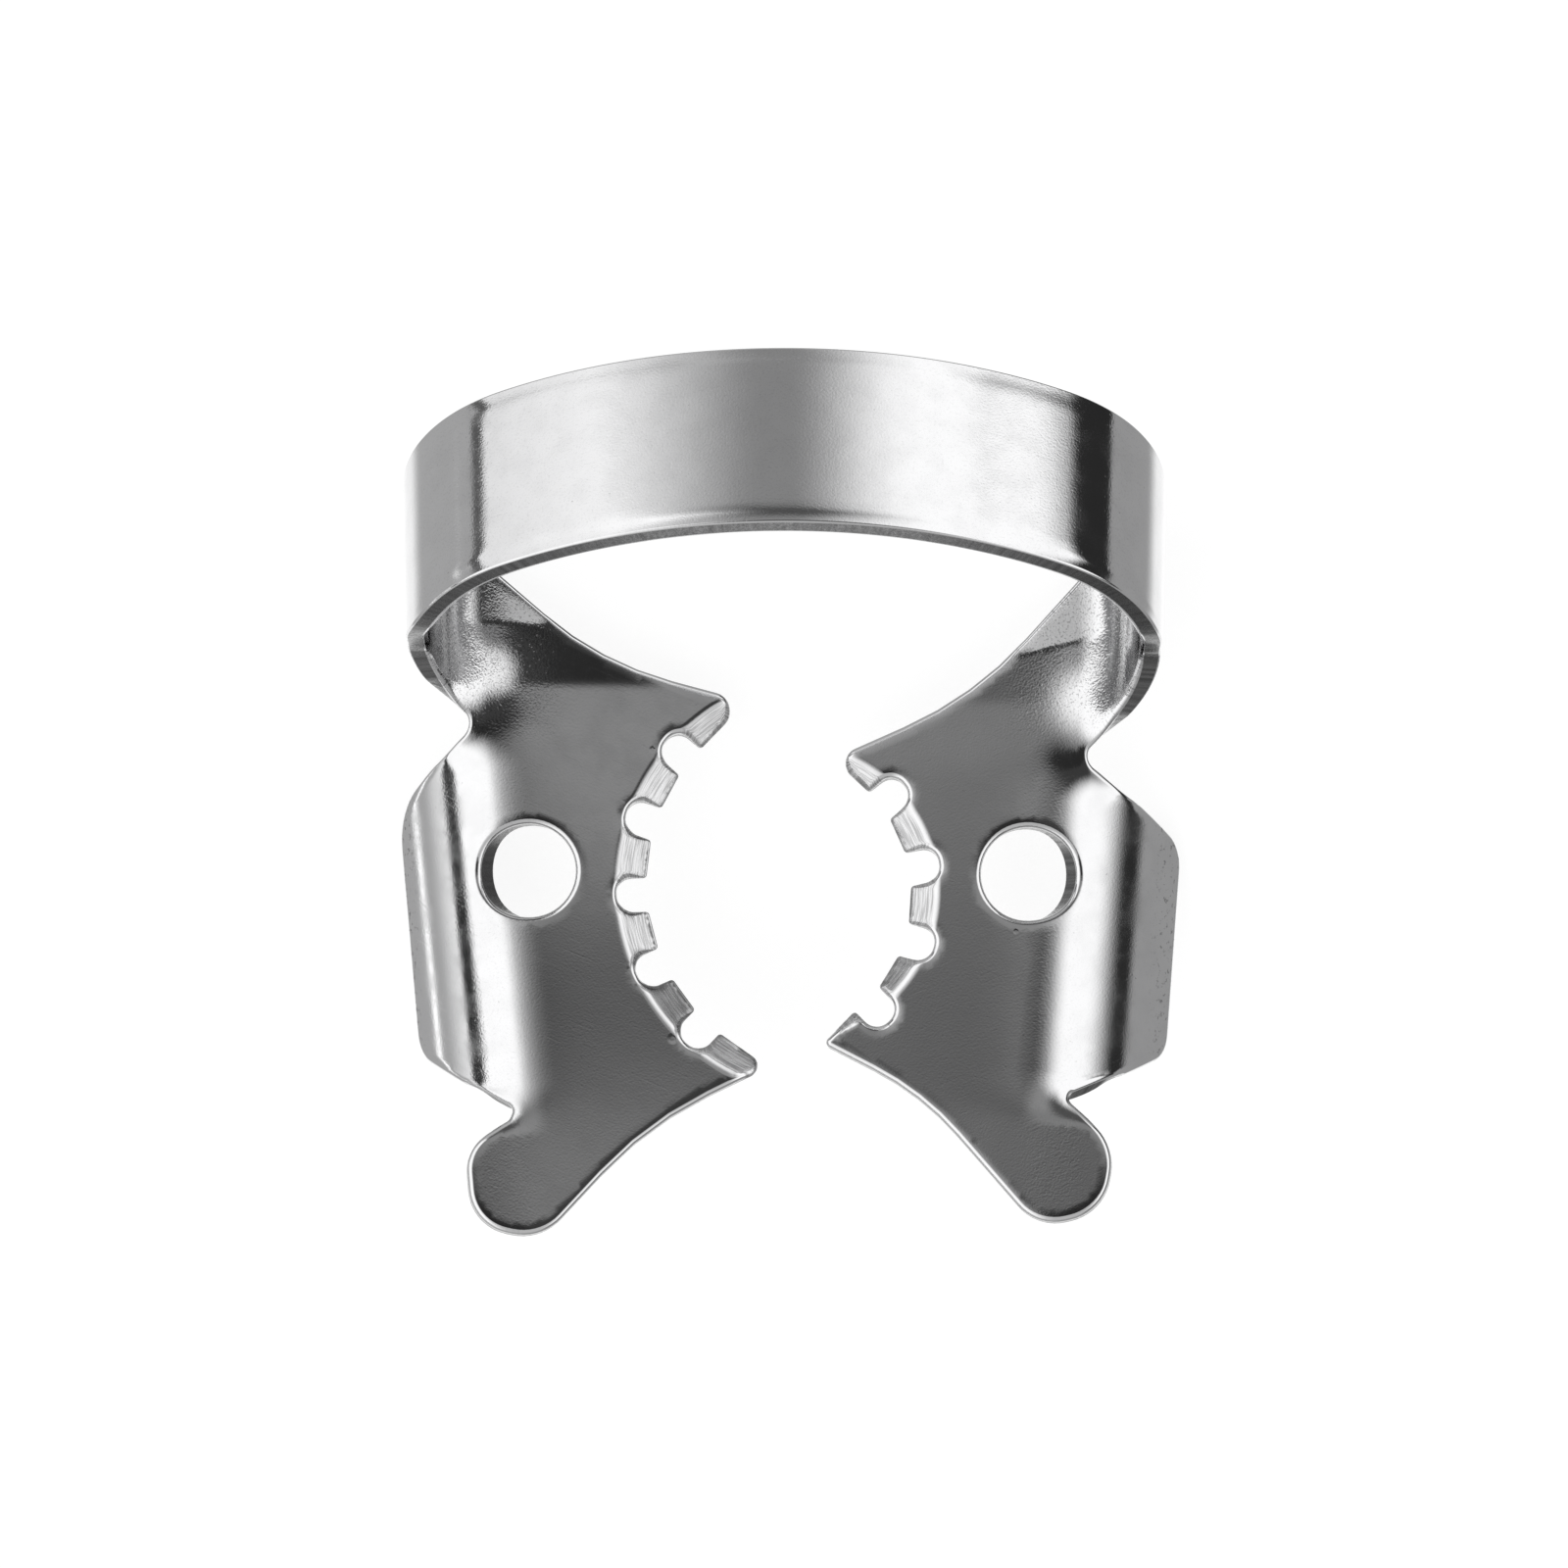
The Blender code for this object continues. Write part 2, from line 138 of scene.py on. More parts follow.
# Wear of the edges: its width on the jaws as a share of the bow's, and how much the bow's back
# edge is spared of it, from the band's middle to a distance
JAW_WEAR = 0.45
BACK_EDGE_SAVED = 0.5
BACK_EDGE_BLEND = 2.0 * MM
# The orange peel that bending leaves, in mm: on the necks over ranges of v and u, on the wings
# over ranges past their bends, and its strength on the wings and on the bow
PEEL_V = (0.9, 2.7)
PEEL_U = (6.5, 8.5)
PEEL_WING_START = (-0.6, 0.2)
PEEL_WING_END = (1.7, 1.1)
PEEL_WING = 0.20
PEEL_BOW = 0.24

# Shares that shape the mesh: the rows of an even grid, the finer grid of the bevels and how far
# its arcs are drawn out, the gap kept to the rims, and an edge's rounding of the thickness
ROW_PACKING = 0.866
FINE_GRID = 0.45
ARC_STRETCH = 1.3
RIM_GAP = 0.6
EDGE_SHARE = 0.42
ARC_STEP = math.radians(7.0)
SHORTEST_GAP = 0.05
SHARPEST_TURN = 0.6
NOTCH_FLOOR = 0.97
PROBE = 0.01 * MM
EDGE_PROBE = 0.02 * MM
BEVEL_BAND = 2.3 * MM
BEVEL_SPAN = math.radians(85.0)

# The studio as the steel shows it.  A ray has an x to the right and a y upwards in the
# photograph, and a height over the table in degrees.  The plates show rays of low y, and the
# bow those of high y.  A range runs from where a part starts to where it is full.
BOW_RAYS = (0.40, 0.60)
LEFT_BOX_START = -0.06
LEFT_BOX_FULL = -0.66
LEFT_BOX_FULL_IN_BOW = -0.36
LEFT_BOX_SHARES = (0.88, 1.16)
RIGHT_BOX_EDGE = (0.64, 0.22)
RIGHT_BOX_BLEND = (-0.29, -0.20, 0.20)
# Shares of the ceiling's brightness: low, over the plates, on the right, and round the bow
CEILING_LOW = 0.20
CEILING_PLATES = 1.25
CEILING_RIGHT = 1.30
CEILING_BOW = 0.5
CEILING_TOP = 1.5
# Heights of the back wall's top in its middle, left and right, and at both its ends
BACK_WALL_TOP = (31.0, 22.0)
BACK_WALL_SIDE_TOP = 4.0
WALL_FOOT = (-0.8, -19.0)
# What the table adds at the left's far end, and the share of its near part that the bow shows
TABLE_GLOW = 0.6
TABLE_GLEAM = 1.4
GLEAM_HEIGHT = -13.0
NEAR_IN_BOW = 0.25
# The dark line in the left plate: its height and half its width, from low to high y
LINE_LEVEL = (3.4, -1.8)
LINE_HALF = (2.8, 3.2)
LINE_SHADE = 0.13
# The dark camera stand over the table, as the cosine of its half angle seen from the clamp
STAND_EDGE = 0.988
STAND_BLEND = 0.004
TABLE_REACH = 1.5
WHITE = (1.0, 1.0, 1.0, 1.0)

# The steel's marks, with some painted shade and highlight: ranges in mm of the sheet, shares of its
# tint and what adds to its roughness
SCRATCH_SCALE = (0.55, 13.0, 1.0)
SCRATCH_DULLS = 0.04
PATCH_DULLS = 0.06
PATCH_SHADE = 0.06
PIT_SHADE = 0.55
PEEL_GRAIN = 5.0
PEEL_SPECKS = 0.75
RUBBED_EDGE = (12.1, 13.0)
GROUND_START = (0.20, 0.28)
GROUND_SHADES = (0.48, 1.0)
# Painted shade on the ground bevels of the left jaw's front teeth, where the bow darkens what they
# reflect
FRONT_TEETH_PAINTED_SHADE = 0.6
GROUND_ROUGHNESS = 0.27
DARKEST_FACE = 0.15
DARKEST_EDGE = 0.12
SCORE_SHADES = (0.04, 0.26)
SCORE_DEPTH = 0.2
EDGE_ROUGHNESS = (0.22, 0.36)
# Painted highlight on the sheared edge round the bow's crown, and painted shade on it at the bow's
# corners
CROWN_RANGE = (9.0, 3.0)
CROWN_PAINTED_HIGHLIGHT = 0.45
CORNER_PAINTED_SHADE = 0.5

# Numbers of the sheet's two materials
POLISHED = 0
SHEARED = 1

JAWS = {
    -1: dict(
        hole=(8.13, -2.79),
        margin_centre=(-1.79, -3.07), margin_radius=6.15, notches=5, notch_span=(-46.8, 39.0),
        bevel_centre=(-1.50, -3.19), bevel_radius=7.00,
        wing_bend=8.21, wing_skew=0.105, wing_angle=44.0,
        neck=(12.67, 4.09, 2.00),
        upper_notch=(9.77, 1.97, 0.44),
        wing=[(13.35, -0.59, 2.10), (12.72, -8.40, 1.18)],
        lower_notch=[(8.54, -10.38, 0.36), (8.73, -10.81, 0.36)],
        lobe=[(10.13, -11.64, 1.50), (9.91, -14.12, 1.70), (7.70, -14.58, 1.68)],
        front=(4.30, -10.91, 11.7),
        tips=[(0.46, -9.00, 0.37), (1.18, 2.72, 0.59)],
        rear=(5.86, 3.94, 10.3),
        band_back=(-1.59, 5.0),
    ),
    1: dict(
        hole=(7.77, -2.90),
        margin_centre=(-0.71, -3.51), margin_radius=4.75, notches=4, notch_span=(-45.1, 37.7),
        bevel_centre=(0.11, -3.42), bevel_radius=4.92,
        wing_bend=8.01, wing_skew=0.08, wing_angle=38.0,
        neck=(13.09, 3.89, 1.59),
        upper_notch=(9.39, 0.87, 0.39),
        wing=[(13.89, -1.65, 1.19), (13.39, -8.37, 0.97)],
        lower_notch=[(8.85, -10.06, 0.22)],
        lobe=[(10.53, -11.52, 1.67), (10.16, -13.71, 1.70), (8.02, -14.18, 1.57)],
        front=(4.35, -9.93, 9.1),
        tips=[(1.22, -8.29, 0.18), (1.56, 0.87, 0.50)],
        rear=(6.07, 2.84, 11.5),
        band_back=(-1.61, 4.5),
    ),
}

NECK_TURN = math.pi / 2.0 - JAW_FALL
NECK_END = NECK_START + NECK_RADIUS * NECK_TURN
NECK_RISE = NECK_RADIUS * math.cos(JAW_FALL)
SIDE_OUT = NECK_START + NECK_RADIUS * (1.0 - math.sin(JAW_FALL))
SHOULDER_OUT = SIDE_OUT - CORNER_RADIUS * (1.0 - math.cos(CORNER_ANGLE))
CROWN_RADIUS = SHOULDER_OUT / math.cos(CORNER_ANGLE)
CORNER_LENGTH = CORNER_RADIUS * CORNER_ANGLE
HALF_BAND = CORNER_LENGTH + CROWN_RADIUS * (math.pi / 2.0 - CORNER_ANGLE)


# Bends of the sheet, on arrays of points

def smooth_step(x):
    """Zero below 0, one above 1, and level at both ends."""
    x = np.clip(x, 0.0, 1.0)
    return x * x * (3.0 - 2.0 * x)


def eased(value, start, end):
    """Zero up to a start, one from an end on, which may lie below the start, and smooth between."""
    return smooth_step((value - start) / (end - start))


def band_to_jaw(s, t):
    """Where a point of the band lies in the jaw's plan, were the sheet laid flat."""
    u = s * math.cos(BOW_LEAN) - t * math.sin(BOW_LEAN) + CORNER_HEIGHT - NECK_RISE + NECK_END
    return u, s * math.sin(BOW_LEAN) + t * math.cos(BOW_LEAN) + CORNER_SETBACK


def to_sheet(side, u, v):
    """A point of the flat sheet from its jaw coordinates."""
    rise = u - NECK_END + NECK_RISE - CORNER_HEIGHT
    run = v - CORNER_SETBACK
    s = run * math.sin(BOW_LEAN) + rise * math.cos(BOW_LEAN)
    t = run * math.cos(BOW_LEAN) - rise * math.sin(BOW_LEAN)
    return Vector((side * (HALF_BAND - s), t))


def jaw_values(sides, key, index=None):
    """One size of the jaws, picked for each point by its side."""
    def value(side):
        row = JAWS[side][key]
        return row if index is None else row[index]

    return np.where(sides > 0, value(1), value(-1))


def lower_levels(sides):
    """The v of the small lower notch on each point's side, in mm."""
    return np.where(sides > 0, JAWS[1]["lower_notch"][0][1], JAWS[-1]["lower_notch"][0][1])


def flat_profile(u):
    """The plate of a jaw, which falls towards the tooth."""
    reach = u - NECK_START
    return NECK_START + reach * math.cos(JAW_FALL), reach * math.sin(JAW_FALL)


def neck_profile(u):
    """The plate, then the neck turned up through a quarter turn, then the side of the bow."""
    turn = np.clip((u - NECK_START) / NECK_RADIUS, 0.0, NECK_TURN)
    out = NECK_START + NECK_RADIUS * (np.sin(JAW_FALL + turn) - math.sin(JAW_FALL))
    rise = NECK_RADIUS * (math.cos(JAW_FALL) - np.cos(JAW_FALL + turn))
    rise += np.maximum(u - NECK_END, 0.0)
    plate = flat_profile(u)
    inside = u <= NECK_START
    return np.where(inside, plate[0], out), np.where(inside, plate[1], rise)


def wing_profile(sides, u, v):
    """The plate, then the wing turned down by a tight bend and a gentle curve."""
    start = jaw_values(sides, "wing_bend") * MM
    start = start + jaw_values(sides, "wing_skew") * (v - jaw_values(sides, "hole", 1) * MM)
    full = np.radians(jaw_values(sides, "wing_angle"))
    out, rise = flat_profile(np.minimum(u, start))
    turn = np.clip((u - start) / WING_BEND_RADIUS, 0.0, full)
    out = out + WING_BEND_RADIUS * (np.sin(turn - JAW_FALL) + math.sin(JAW_FALL))
    rise = rise + WING_BEND_RADIUS * (np.cos(turn - JAW_FALL) - math.cos(JAW_FALL))
    slope = full - JAW_FALL
    more = np.maximum(u - start - WING_BEND_RADIUS * full, 0.0) / WING_CURVE_RADIUS
    out = out + WING_CURVE_RADIUS * (np.sin(slope + more) - np.sin(slope))
    rise = rise + WING_CURVE_RADIUS * (np.cos(slope + more) - np.cos(slope))
    return out, rise


def bow_profile(s):
    """The bow in its leaning plane: the distance out and the height above its corner's foot."""
    turn = np.clip(s / CORNER_RADIUS, 0.0, CORNER_ANGLE)
    out = SIDE_OUT - CORNER_RADIUS * (1.0 - np.cos(turn))
    height = CORNER_RADIUS * np.sin(turn)
    more = np.maximum(s - CORNER_LENGTH, 0.0) / CROWN_RADIUS
    out = out - CROWN_RADIUS * (math.cos(CORNER_ANGLE) - np.cos(CORNER_ANGLE + more))
    height = height + CROWN_RADIUS * (np.sin(CORNER_ANGLE + more) - math.sin(CORNER_ANGLE))
    return out, height


def jaw_coordinates(points):
    """The side, u and v of points of the flat sheet, and how far each is along its band."""
    sides = np.where(points[:, 0] > 0.0, 1, -1)
    s = HALF_BAND - np.abs(points[:, 0])
    u, v = band_to_jaw(s, points[:, 1])
    return sides, u, v, s


def bent(points, sheet):
    """The middle of the bent sheet at points of the flat sheet."""
    sides, u, v, s = jaw_coordinates(points)
    t = points[:, 1]
    plate = flat_profile(u)
    wing = wing_profile(sides, u, v)
    neck = neck_profile(u)
    upper = jaw_values(sides, "upper_notch", 1) * MM
    lower = lower_levels(sides) * MM
    to_neck = smooth_step((v - upper + BLEND_NECK) / (2.0 * BLEND_NECK))
    to_wing = smooth_step((v - lower + BLEND_LOBE) / (2.0 * BLEND_LOBE))
    spot = []
    for k in (0, 1):
        below = plate[k] + (wing[k] - plate[k]) * to_wing
        spot.append(below + (neck[k] - below) * to_neck)
    flare = BOW_FLARE * t * to_neck * smooth_step((u - NECK_START) / (1.5 * NECK_RADIUS))
    jaw_form = np.stack([sides * spot[0] * (1.0 + flare), v, spot[1]], axis=1)
    out, height = bow_profile(s)
    out = out * (1.0 + BOW_FLARE * t)
    along = CORNER_SETBACK + height * math.sin(BOW_LEAN) + t * math.cos(BOW_LEAN)
    up = CORNER_HEIGHT + height * math.cos(BOW_LEAN) - t * math.sin(BOW_LEAN)
    bow_form = np.stack([sides * out, along, up], axis=1)
    on_bow = (s > 0.0) & (u > NECK_END - sheet.thickness / 2.0)
    return np.where(on_bow[:, None], bow_form, jaw_form)


def unit(rows):
    """Each row of an array, scaled to length one."""
    return rows / np.linalg.norm(rows, axis=1)[:, None]


def slopes(form, points):
    """How a form changes along x and along t of the flat sheet."""
    across = form(points + (PROBE, 0.0)) - form(points - (PROBE, 0.0))
    along = form(points + (0.0, PROBE)) - form(points - (0.0, PROBE))
    return across, along


def facing(points, sheet):
    """The direction that the upper face of the bent sheet looks in."""
    across, along = slopes(lambda p: bent(p, sheet), points)
    return unit(np.cross(along, across))


def bevel_place(points):
    """Each point's turn round its jaw's bevel, its radius there and its depth in the bevel."""
    sides, u, v, _ = jaw_coordinates(points)
    du = u - jaw_values(sides, "bevel_centre", 0) * MM
    dv = v - jaw_values(sides, "bevel_centre", 1) * MM
    reach = np.hypot(du, dv)
    return np.arctan2(dv, du), reach, jaw_values(sides, "bevel_radius") * MM - reach


def thickness(points, sheet):
    """The sheet's thickness, thinned along the margin by a bevel with a soft upper edge."""
    inside = np.maximum(bevel_place(points)[2], 0.0)
    slope = math.tan(sheet.bevel_slope)
    blend = sheet.bevel_blend
    soft = slope * inside * inside / (2.0 * blend)
    drop = np.where(inside < blend, soft, slope * (inside - blend / 2.0))
    return np.maximum(sheet.thickness - drop, sheet.tip_thickness)


# Outline of the flat sheet

def arc(centre, radius, start, end, step):
    """Points along an arc, no further apart than a step in radians."""
    count = max(2, math.ceil(abs(end - start) / step))
    angles = [start + (end - start) * i / count for i in range(count + 1)]
    return [centre + radius * Vector((math.cos(a), math.sin(a))) for a in angles]


def rounded(corners, step):
    """A closed outline through corners (point, fillet radius), with each corner filleted."""
    points = []
    for i, (corner, radius) in enumerate(corners):
        back = corners[i - 1][0] - corner
        ahead = corners[(i + 1) % len(corners)][0] - corner
        half = back.angle(ahead) / 2.0
        reach = min(radius / math.tan(half), back.length * 0.5, ahead.length * 0.5)
        radius = reach * math.tan(half)
        middle = (back.normalized() + ahead.normalized()).normalized()
        centre = corner + middle * radius / math.sin(half)
        first = corner + back.normalized() * reach - centre
        last = corner + ahead.normalized() * reach - centre
        start = math.atan2(first.y, first.x)
        sweep = (math.atan2(last.y, last.x) - start + math.pi) % math.tau - math.pi
        points.extend(arc(centre, radius, start, start + sweep, step))
    return points


def notch(jaw, angle):
    """One punched notch of the margin, as corners in u and v from its front to its rear."""
    reach = jaw["margin_radius"] * MM
    half = math.asin(NOTCH_RADIUS / reach)
    aim = Vector((math.cos(angle), math.sin(angle)))
    side = Vector((-aim.y, aim.x)) * NOTCH_RADIUS
    centre = Vector(jaw["margin_centre"]) * MM
    mouth = centre + aim * reach * math.cos(half)
    floor = centre + aim * (reach + NOTCH_DEPTH)
    return [
        (mouth - side, TOOTH_CORNER),
        (floor - side, NOTCH_RADIUS * NOTCH_FLOOR),
        (floor + side, NOTCH_RADIUS * NOTCH_FLOOR),
        (mouth + side, TOOTH_CORNER),
    ]


def jaw_corners(side):
    """The corners of one jaw, from the front edge of the band round to its back edge."""
    jaw = JAWS[side]

    def sized(*rows):
        return [(Vector(row[:2]) * MM, row[2] * MM) for row in rows]

    foot = Vector(band_to_jaw(0.0, -BAND_WIDTH / 2.0))
    level = jaw["neck"][1] * MM
    meeting = Vector((foot.x + (level - foot.y) / math.tan(BOW_LEAN), level))
    corners = [(meeting, NECK_FILLET)]
    corners += sized(jaw["neck"], jaw["upper_notch"], *jaw["wing"], *jaw["lower_notch"])
    corners += sized(*jaw["lobe"], jaw["front"], jaw["tips"][0])
    first, last = jaw["notch_span"]
    for i in range(jaw["notches"]):
        angle = first + (last - first) * i / (jaw["notches"] - 1)
        corners += notch(jaw, math.radians(angle))
    corners += sized(jaw["tips"][1], jaw["rear"])
    station, fillet = jaw["band_back"]
    corners.append((Vector(band_to_jaw(station * MM, BAND_WIDTH / 2.0)), fillet * MM))
    return [(to_sheet(side, point.x, point.y), radius) for point, radius in corners]


def sheet_loops(sheet):
    """The edges of the flat sheet: its outer edge, anticlockwise, then its two holes."""
    points = rounded(jaw_corners(1) + jaw_corners(-1)[::-1], ARC_STEP)
    area = sum(a.x * b.y - b.x * a.y for a, b in zip(points, points[1:] + points[:1]))
    if area < 0.0:
        points.reverse()
    filled = []
    for point, ahead in zip(points, points[1:] + points[:1]):
        gap = (ahead - point).length
        if gap < sheet.grid * SHORTEST_GAP:
            continue
        count = max(1, round(gap / sheet.grid))
        filled.extend(point.lerp(ahead, k / count) for k in range(count))
    loops = [np.array(filled)]
    for side in (-1, 1):
        centre = to_sheet(side, *(Vector(JAWS[side]["hole"]) * MM))
        ring = arc(centre, HOLE_RADIUS, math.tau, 0.0, ARC_STEP)
        loops.append(np.array(ring[:-1]))
    return loops


def inward(loop):
    """For each point of a loop, the step into the sheet that keeps its edges parallel."""
    before = unit(loop - np.roll(loop, 1, axis=0))
    after = unit(np.roll(loop, -1, axis=0) - loop)
    both = before + after
    normals = unit(np.stack([-both[:, 1], both[:, 0]], axis=1))
    spread = normals[:, 0] * -before[:, 1] + normals[:, 1] * before[:, 0]
    return normals / np.maximum(spread, SHARPEST_TURN)[:, None]


def inside_loops(points, loops):
    """True for each point that lies within the sheet and outside its holes."""
    crossings = np.zeros(len(points), dtype=int)
    for loop in loops:
        for a, b in zip(loop, np.roll(loop, 1, axis=0)):
            if a[1] == b[1]:
                continue
            spans = (a[1] > points[:, 1]) != (b[1] > points[:, 1])
            cut = b[0] + (points[:, 1] - b[1]) / (a[1] - b[1]) * (a[0] - b[0])
            crossings += spans & (points[:, 0] < cut)
    return crossings % 2 == 1


def nearby(points):
    """A tree that finds the nearest of some flat points."""
    tree = KDTree(len(points))
    for k, point in enumerate(points):
        tree.insert((*point, 0.0), k)
    tree.balance()
    return tree


def filling(loops, near, sheet):
    """Points inside the sheet: an even grid, and finer arcs over the ground bevels."""
    low = loops[0].min(axis=0)
    high = loops[0].max(axis=0)
    row_gap = sheet.grid * ROW_PACKING
    rows = int((high[1] - low[1]) / row_gap) + 1
    columns = int((high[0] - low[0]) / sheet.grid) + 1
    j, i = np.mgrid[0:rows, 0:columns]
    x = low[0] + (i + 0.5 * (j % 2)) * sheet.grid
    plain = np.stack([x.ravel(), (low[1] + j * row_gap).ravel()], axis=1)
    fine = sheet.grid * FINE_GRID
    plain = plain[bevel_place(plain)[2] < -fine]
    arcs = []
    for side in (-1, 1):
        centre = Vector(JAWS[side]["bevel_centre"]) * MM
        for k in range(-1, int(BEVEL_BAND / fine)):
            radius = JAWS[side]["bevel_radius"] * MM - k * fine
            turn = fine * ARC_STRETCH / radius
            for i in range(int(2.0 * BEVEL_SPAN / turn)):
                angle = (i + 0.5 * (k % 2)) * turn - BEVEL_SPAN
                u = centre.x + radius * math.cos(angle)
                v = centre.y + radius * math.sin(angle)
                arcs.append(to_sheet(side, u, v))
    points = np.concatenate([plain, np.array(arcs)])
    points = points[inside_loops(points, loops)]
    gaps = np.array([near.find((*point, 0.0))[2] for point in points])
    on_bevel = bevel_place(points)[2] > -fine * 1.5
    return points[gaps > RIM_GAP * np.where(on_bevel, fine, sheet.grid)]


class SheetMesh:
    """Collects the bent sheet's vertices, with their normals and their place on the sheet."""

    def __init__(self, sheet):
        self.sheet = sheet
        self.spots = []
        self.normals = []
        self.places = []
        self.runs = []
        self.wall_painted_shades = []
        self.count = 0
        self.faces = []
        self.finishes = []

    def add(self, spots, normals, places, runs=None, wall_painted_shade=0.0):
        """Adds vertices, with how far each is along its edge and the painted shade of a hole's
        wall, and returns their numbers.
        """
        self.spots.append(spots)
        self.normals.append(normals)
        self.places.append(places)
        self.runs.append(np.zeros(len(spots)) if runs is None else runs)
        self.wall_painted_shades.append(np.full(len(spots), wall_painted_shade))
        numbers = np.arange(self.count, self.count + len(spots))
        self.count += len(spots)
        return numbers

    def join(self, faces, finish):
        """Adds faces of one finish."""
        self.faces.extend(faces)
        self.finishes.extend([finish] * len(faces))


def face_form(sheet, upper):
    """The upper or lower face of the bent sheet, as a form on the flat sheet."""
    def form(points):
        middle = bent(points, sheet)
        level = thickness(points, sheet) - sheet.thickness / 2.0
        if not upper:
            level = np.full(len(points), -sheet.thickness / 2.0)
        return middle + facing(points, sheet) * level[:, None]

    return form


def worn_tilt(sheet, points, distance):
    """How far the normal leans outwards near an edge that tumbling has worn, as a slope."""
    on_bow = smooth_step((HALF_BAND - np.abs(points[:, 0])) / BAND_WIDTH)
    width = sheet.wear_width * (JAW_WEAR + (1.0 - JAW_WEAR) * on_bow)
    share = np.maximum(1.0 - distance / width, 0.0)
    saved = BACK_EDGE_SAVED * on_bow * eased(points[:, 1], 0.0, BACK_EDGE_BLEND)
    return math.tan(sheet.wear_turn) * share * share * (1.0 - saved)


def plate_lean(points):
    """How steeply the plates rise towards the bow, and outwards, by their slight forms."""
    sides, u, v, _ = jaw_coordinates(points)
    u, v = u / MM, v / MM
    right = (sides > 0).astype(int)

    def picked(pair):
        return np.array(pair)[right]

    def hill(centres, size):
        at_u, at_v = picked(centres).T
        return np.exp(-((u - at_u) ** 2 + (v - at_v) ** 2) / (2.0 * size ** 2))

    wave = -picked(WAVE_SLOPE) * np.sin(math.tau * (v - WAVE_START) / WAVE_LENGTH)
    rear = picked(REAR_SLOPE) * eased(v - picked(REAR_RISE), -REAR_BLEND, REAR_BLEND)
    rise = picked(LIFT_RISE) + picked(LIFT_SLANT) * (u - LIFT_MIDDLE)
    lift = (LIFT_SLOPE - picked(REAR_SLOPE)) * eased(v - rise, -REAR_BLEND / 2, REAR_BLEND / 2)
    to_bow = (wave + rear) * eased(u, *REAR_FADE) + lift * eased(u, *LIFT_FADE)
    to_bow = to_bow + TWIST_SLOPE * hill(TWISTS, TWIST_SIZE)

    neck, lobe = BLEND_NECK / MM, BLEND_LOBE / MM
    from_notch = v - jaw_values(sides, "upper_notch", 1)
    below_bow = neck_profile(u * MM)[1] - wing_profile(sides, u * MM, v * MM)[1]
    share = np.clip((from_notch + neck) / (2.0 * neck), 0.0, 1.0)
    steep = below_bow / MM * 6.0 * share * (1.0 - share) / (2.0 * neck)
    to_bow = to_bow - NOTCH_EASE * steep * eased(u, *NOTCH_FADE)

    start = jaw_values(sides, "wing_bend")
    start = start + jaw_values(sides, "wing_skew") * (v - jaw_values(sides, "hole", 1))
    on_wing = eased(v - lower_levels(sides), -lobe, lobe)
    bent_here = on_wing * eased(from_notch, neck, -neck)
    shown_here = on_wing * eased(from_notch, *BEND_SHOWN)
    past = u - start
    late = past - picked(BEND_SHIFT)
    soft = (np.hypot(late, picked(BEND_SPREAD)) + late) / 2.0
    most = WING_BEND_RADIUS / MM * np.radians(jaw_values(sides, "wing_angle"))
    soft = (soft - np.maximum(past, 0.0)) * eased(past / most, *BEND_SHARES)
    hard = np.clip(past, 0.0, most * BEND_CLEARED) * eased(u, *NOTCH_FADE)
    change = soft * shown_here - hard * (bent_here - shown_here)
    out = picked(LEAD_SLOPE) * hill(LEADS, picked(LEAD_SIZE))
    return to_bow, out - change / (WING_BEND_RADIUS / MM)


def formed(normals, across, along, points):
    """Normals leaned by the plates' slight forms, which are too shallow to need vertices."""
    sides = np.where(points[:, 0] > 0.0, 1.0, -1.0)[:, None]
    outwards = -sides * unit(across) * math.cos(BOW_LEAN) - unit(along) * math.sin(BOW_LEAN)
    ahead = unit(along) * math.cos(BOW_LEAN) - unit(across) * sides * math.sin(BOW_LEAN)
    to_bow, out = plate_lean(points)
    return unit(normals - ahead * to_bow[:, None] - outwards * out[:, None])


def face_vertices(mesh, points, rim, distance, upper):
    """Vertices on the upper or lower face, with the normal of that face and its worn edges."""
    form = face_form(mesh.sheet, upper)
    across, along = slopes(form, points)
    normals = formed(unit(np.cross(along, across)), across, along, points)
    outwards = unit(form(rim) - form(points))
    normals = normals if upper else -normals
    normals = unit(normals + outwards * worn_tilt(mesh.sheet, points, distance)[:, None])
    return mesh.add(form(points), normals, points)


